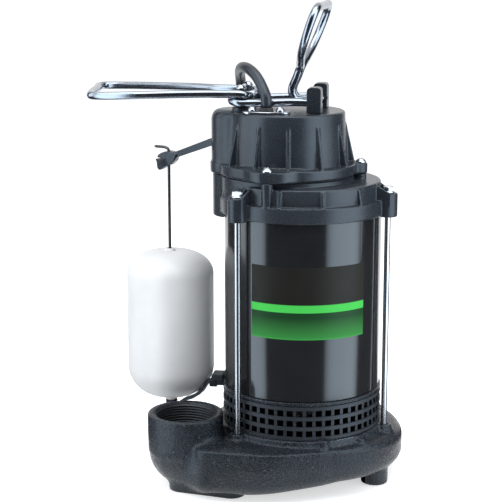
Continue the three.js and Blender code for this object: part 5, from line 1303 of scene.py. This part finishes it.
def float_profile():
    """Radius and height of the float: quarter ellipses below and above a straight side, a small
    boss at each end and a bore for the rod."""
    a, b = np.radians(np.linspace(-90, 0, 25)), np.radians(np.linspace(0, 90, 25))
    under, over = FLOAT_UNDER, FLOAT_OVER
    lower = np.stack([FLOAT_RADIUS + under[0] * (np.cos(a) - 1), FLOAT_BASE + under[1] * (1 + np.sin(a))], 1)
    upper = np.stack([FLOAT_RADIUS + over[0] * (np.cos(b) - 1), FLOAT_HEAD - over[1] * (1 - np.sin(b))], 1)
    head, base, bore = FLOAT_HEAD, FLOAT_BASE, 1.9
    top = [(5.2, head), (4.6, head + 1.2), (3.6, FLOAT_TOP), (2.6, FLOAT_TOP), (bore, FLOAT_TOP - 1.4)]
    foot = [(bore, FLOAT_LOW + 2), (2.6, FLOAT_LOW), (4.2, FLOAT_LOW), (5.0, FLOAT_LOW + 1), (5.6, base)]
    return np.concatenate([lower, upper, top, foot])


piece("float_shell", turned(float_profile(), 128, ROD_TOP[:2]), float_white,
      body="float", nodes=("float",))


def guide_shape(step=0.45):
    """The guide: a block under the lug, an arm that falls clear of the float, and a slotted eye round
    the rod."""
    near = CAN_RADIUS + CLEAR + 6 + CLEAR
    clamp = polar(near, GUIDE_ANGLE)
    x0, y0 = ROD_TOP[:2]
    reach = math.hypot(x0 - clamp[0], y0 - clamp[1])
    heading = math.degrees(math.atan2(y0 - clamp[1], x0 - clamp[0]))
    low = (x0 - 16.0, min(y0, clamp[1]) - 14.0, 38.0)
    here = x, y, z = space(low, (clamp[0] + 6.0, max(y0, clamp[1]) + 14.0, 79.0), step)
    r = np.array((5.0, 8.5, 12.0, 16.0, 20.0, 25.0, 31.0))
    clear = np.minimum(float_under(reach - r + 1.2) - 1.6, 75.5)
    top = np.stack([r, np.maximum(clear, GUIDE_TOP)], 1)
    under = np.stack([r - 1.6, np.maximum(clear - 2.6, GUIDE_LOW + 2)], 1)[::-1]
    end = [(reach, GUIDE_TOP), (reach, GUIDE_LOW + 2)]
    outline = rounded(np.concatenate([[(1.5, 76.0)], top, end, under, [(1.5, 72.4)]]), 0.8, 3)
    arm = plate_field(here, outline, 3.2, heading, clamp)
    middle = polar(near + 3.25, GUIDE_ANGLE)
    c, s = polar(1.0, GUIDE_ANGLE)
    du, dv = (x - middle[0]) * c + (y - middle[1]) * s, (y - middle[1]) * c - (x - middle[0]) * s
    block = upright_field(np.maximum(np.abs(du) - 3.25, np.abs(dv) - 6.5), z, 71.2, 77.2, 0.7)
    away = ROD_TOP[:2] + ARM[:2] * (math.hypot(LEVER_REACH, LEVER_DROP) - LEVER_REACH)
    eye = bar_field(here, ROD_TOP[:2], away, 8.5, GUIDE_LOW, GUIDE_TOP, 0.9)
    slot = bar_field(here, ROD_TOP[:2], away, SWITCH_ROD_SLOT, 30, 60)
    return surface_of(carve(melt(melt(arm, block, 1.0), eye, 2.0), slot, 0.5), low, step)


piece("rod_guide", guide_shape(), cap_black, nodes=("float_guide",), sharp=0)

# ---------------------------------------------------------------- frame solids that stay
KEPT = {
    cast_black: ("impeller", "suction_plate"),
    machined_iron: ("shaft_seal_seat",),
    stack_steel: ("stator_core", "rotor_core"),
    winding_copper: ("winding_upper", "winding_lower"),
    bearing_bronze: ("lower_bush", "upper_bush"),
    soft_rubber: ("can_seal", "cover_gasket", "micro_switch", "shaft_seal_head"),
    bare_steel: ("rotor_shaft", "lever_pin"),
}
for material, names in KEPT.items():
    for name in names:
        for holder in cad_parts[name].material_slots:
            holder.link = "OBJECT"
            holder.material = material

# ---------------------------------------------------------------- studio
DARK_REACH, REFLECTOR_REACH = 2.3, 0.20


def seen_by_eye_or_gloss(tree):
    """1 for camera, glossy and transmission rays, else 0."""
    rays = added(tree, "LightPath").outputs
    either = added(tree, "Math", {0: rays["Is Camera Ray"], 1: rays["Is Glossy Ray"]}, operation="MAXIMUM")
    any_of = added(tree, "Math", {0: either.outputs[0], 1: rays["Is Transmission Ray"]}, operation="MAXIMUM")
    return any_of.outputs[0]


def studio_sky():
    """A soft cool light, and plain white for the eye and for gloss."""
    world = bpy.data.worlds.new("studio")
    bpy.context.scene.world = world
    world.use_nodes = True
    tree = world.node_tree
    soft = fill(tree, tree.nodes["Background"], {"Color": (0.93, 0.96, 1.0), "Strength": 0.55})
    white = added(tree, "Background", {"Color": (1, 1, 1), "Strength": 1.0})
    sky = added(tree, "MixShader", {0: seen_by_eye_or_gloss(tree), 1: soft.outputs[0], 2: white.outputs[0]})
    fill(tree, tree.nodes["World Output"], {"Surface": sky.outputs[0]})


def bare_material(name):
    """(material, node tree) of a material with nothing on its output yet."""
    material = bpy.data.materials.new(name)
    material.use_nodes = True
    material.node_tree.nodes.remove(material.node_tree.nodes["Principled BSDF"])
    return material, material.node_tree


def floor_finish():
    """Pale ground that keeps its shadow: lit paint, with a white added for the eye and for gloss."""
    material, tree = bare_material("floor_pale")
    paint = added(tree, "BsdfDiffuse", {"Color": (0.82, 0.82, 0.82)})
    glow = added(tree, "Emission", {"Color": (0.58, 0.58, 0.58), "Strength": seen_by_eye_or_gloss(tree)})
    both = added(tree, "AddShader", {0: paint.outputs[0], 1: glow.outputs[0]})
    fill(tree, tree.nodes["Material Output"], {"Surface": both.outputs[0]})
    return material


def glow_finish(name):
    """Cool light whose strength is the mesh's own value at each point."""
    material, tree = bare_material(name)
    strength = added(tree, "Attribute", attribute_name="fade").outputs["Fac"]
    glow = added(tree, "Emission", {"Color": (0.82, 0.92, 1.0), "Strength": strength})
    fill(tree, tree.nodes["Material Output"], {"Surface": glow.outputs[0]})
    return material


def stage_sheet(name, grid, material, in_view=False):
    """A stage sheet over a grid of points in metres. Unless it is in view, only reflections see it."""
    grid = np.asarray(grid, float)
    mesh = bpy.data.meshes.new(name)
    mesh.from_pydata(grid.reshape(-1, 3).tolist(), [], grid_faces(*grid.shape[:2]).tolist())
    mesh.materials.append(material)
    obj = bpy.data.objects.new(name, mesh)
    bpy.context.scene.collection.objects.link(obj)
    obj.visible_camera = obj.visible_diffuse = obj.visible_shadow = in_view
    return mesh


def dark_surround():
    """Dark cloth round the front and sides, for reflections alone: an arc of wall, and an apron on the
    floor. Both are grids over an angle from the camera's side and a second reach."""
    cloth, tree, shader, _ = new_material("dark_cloth")
    fill(tree, shader, {"Base Color": (0.03, 0.03, 0.035), "Roughness": 0.9})
    a = np.radians(np.linspace(-140, 140, 57))[:, None]
    foot, high = np.array((0.15, DARK_REACH)), np.array((0.003, 2.6))
    apron = np.stack([0.03 + foot * np.sin(a), -foot * np.cos(a), np.full((57, 2), 0.003)], -1)
    wall = np.stack(np.broadcast_arrays(DARK_REACH * np.sin(a), -DARK_REACH * np.cos(a), high), -1)
    stage_sheet("dark_apron", apron, cloth)
    stage_sheet("dark_wall", wall, cloth)


def reflector(name, start, end, strength):
    """A tall arc beside the pump that only reflections see: a grid over angle and height, whose
    light fades at both ends of its arc as 1 - |t|^5."""
    share = np.linspace(-1, 1, 33)
    a = np.radians((start + end) / 2 + (end - start) / 2 * share)[:, None] - math.pi / 2
    arc = around(REFLECTOR_REACH, a, np.array((0.004, 1.2)), MOTOR_AXIS * MM)
    fade = stage_sheet(name, arc, glow_finish(name)).attributes.new("fade", "FLOAT", "POINT")
    fade.data.foreach_set("value", np.repeat(strength * (1 - np.abs(share) ** 5), 2).astype(np.float32))


def soft_box(name, at, aim, size, power, colour=(1, 1, 1)):
    """A rectangular lamp at a point, aimed at another, in metres."""
    lamp = bpy.data.lights.new(name, "AREA")
    lamp.shape = "RECTANGLE"
    lamp.size, lamp.size_y = size
    lamp.energy = power
    lamp.color = colour
    obj = bpy.data.objects.new(name, lamp)
    obj.location = at
    obj.rotation_euler = (Vector(aim) - Vector(at)).to_track_quat("-Z", "Y").to_euler()
    bpy.context.scene.collection.objects.link(obj)
    obj.visible_camera = False


studio_sky()
floor_corners = [[(-12, -12, 0), (-12, 12, 0)], [(12, -12, 0), (12, 12, 0)]]
stage_sheet("floor", floor_corners, floor_finish(), in_view=True)
dark_surround()
reflector("right_reflector", 25, 77, 3.6)
reflector("left_reflector", -79, -47, 3.2)
soft_box("left_box", (-1.147, -0.146, 0.5), (0.04, 0, 0.25), (1.10, 1.7), 13.5, (0.90, 0.95, 1.0))
soft_box("right_box", (1.168, -0.42, 0.5), (0.04, 0, 0.25), (0.98, 1.7), 13, (0.90, 0.95, 1.0))
soft_box("top_box", (0.0, -0.3, 1.7), (0.0, 0.0, 0.2), (1.5, 1.5), 22)
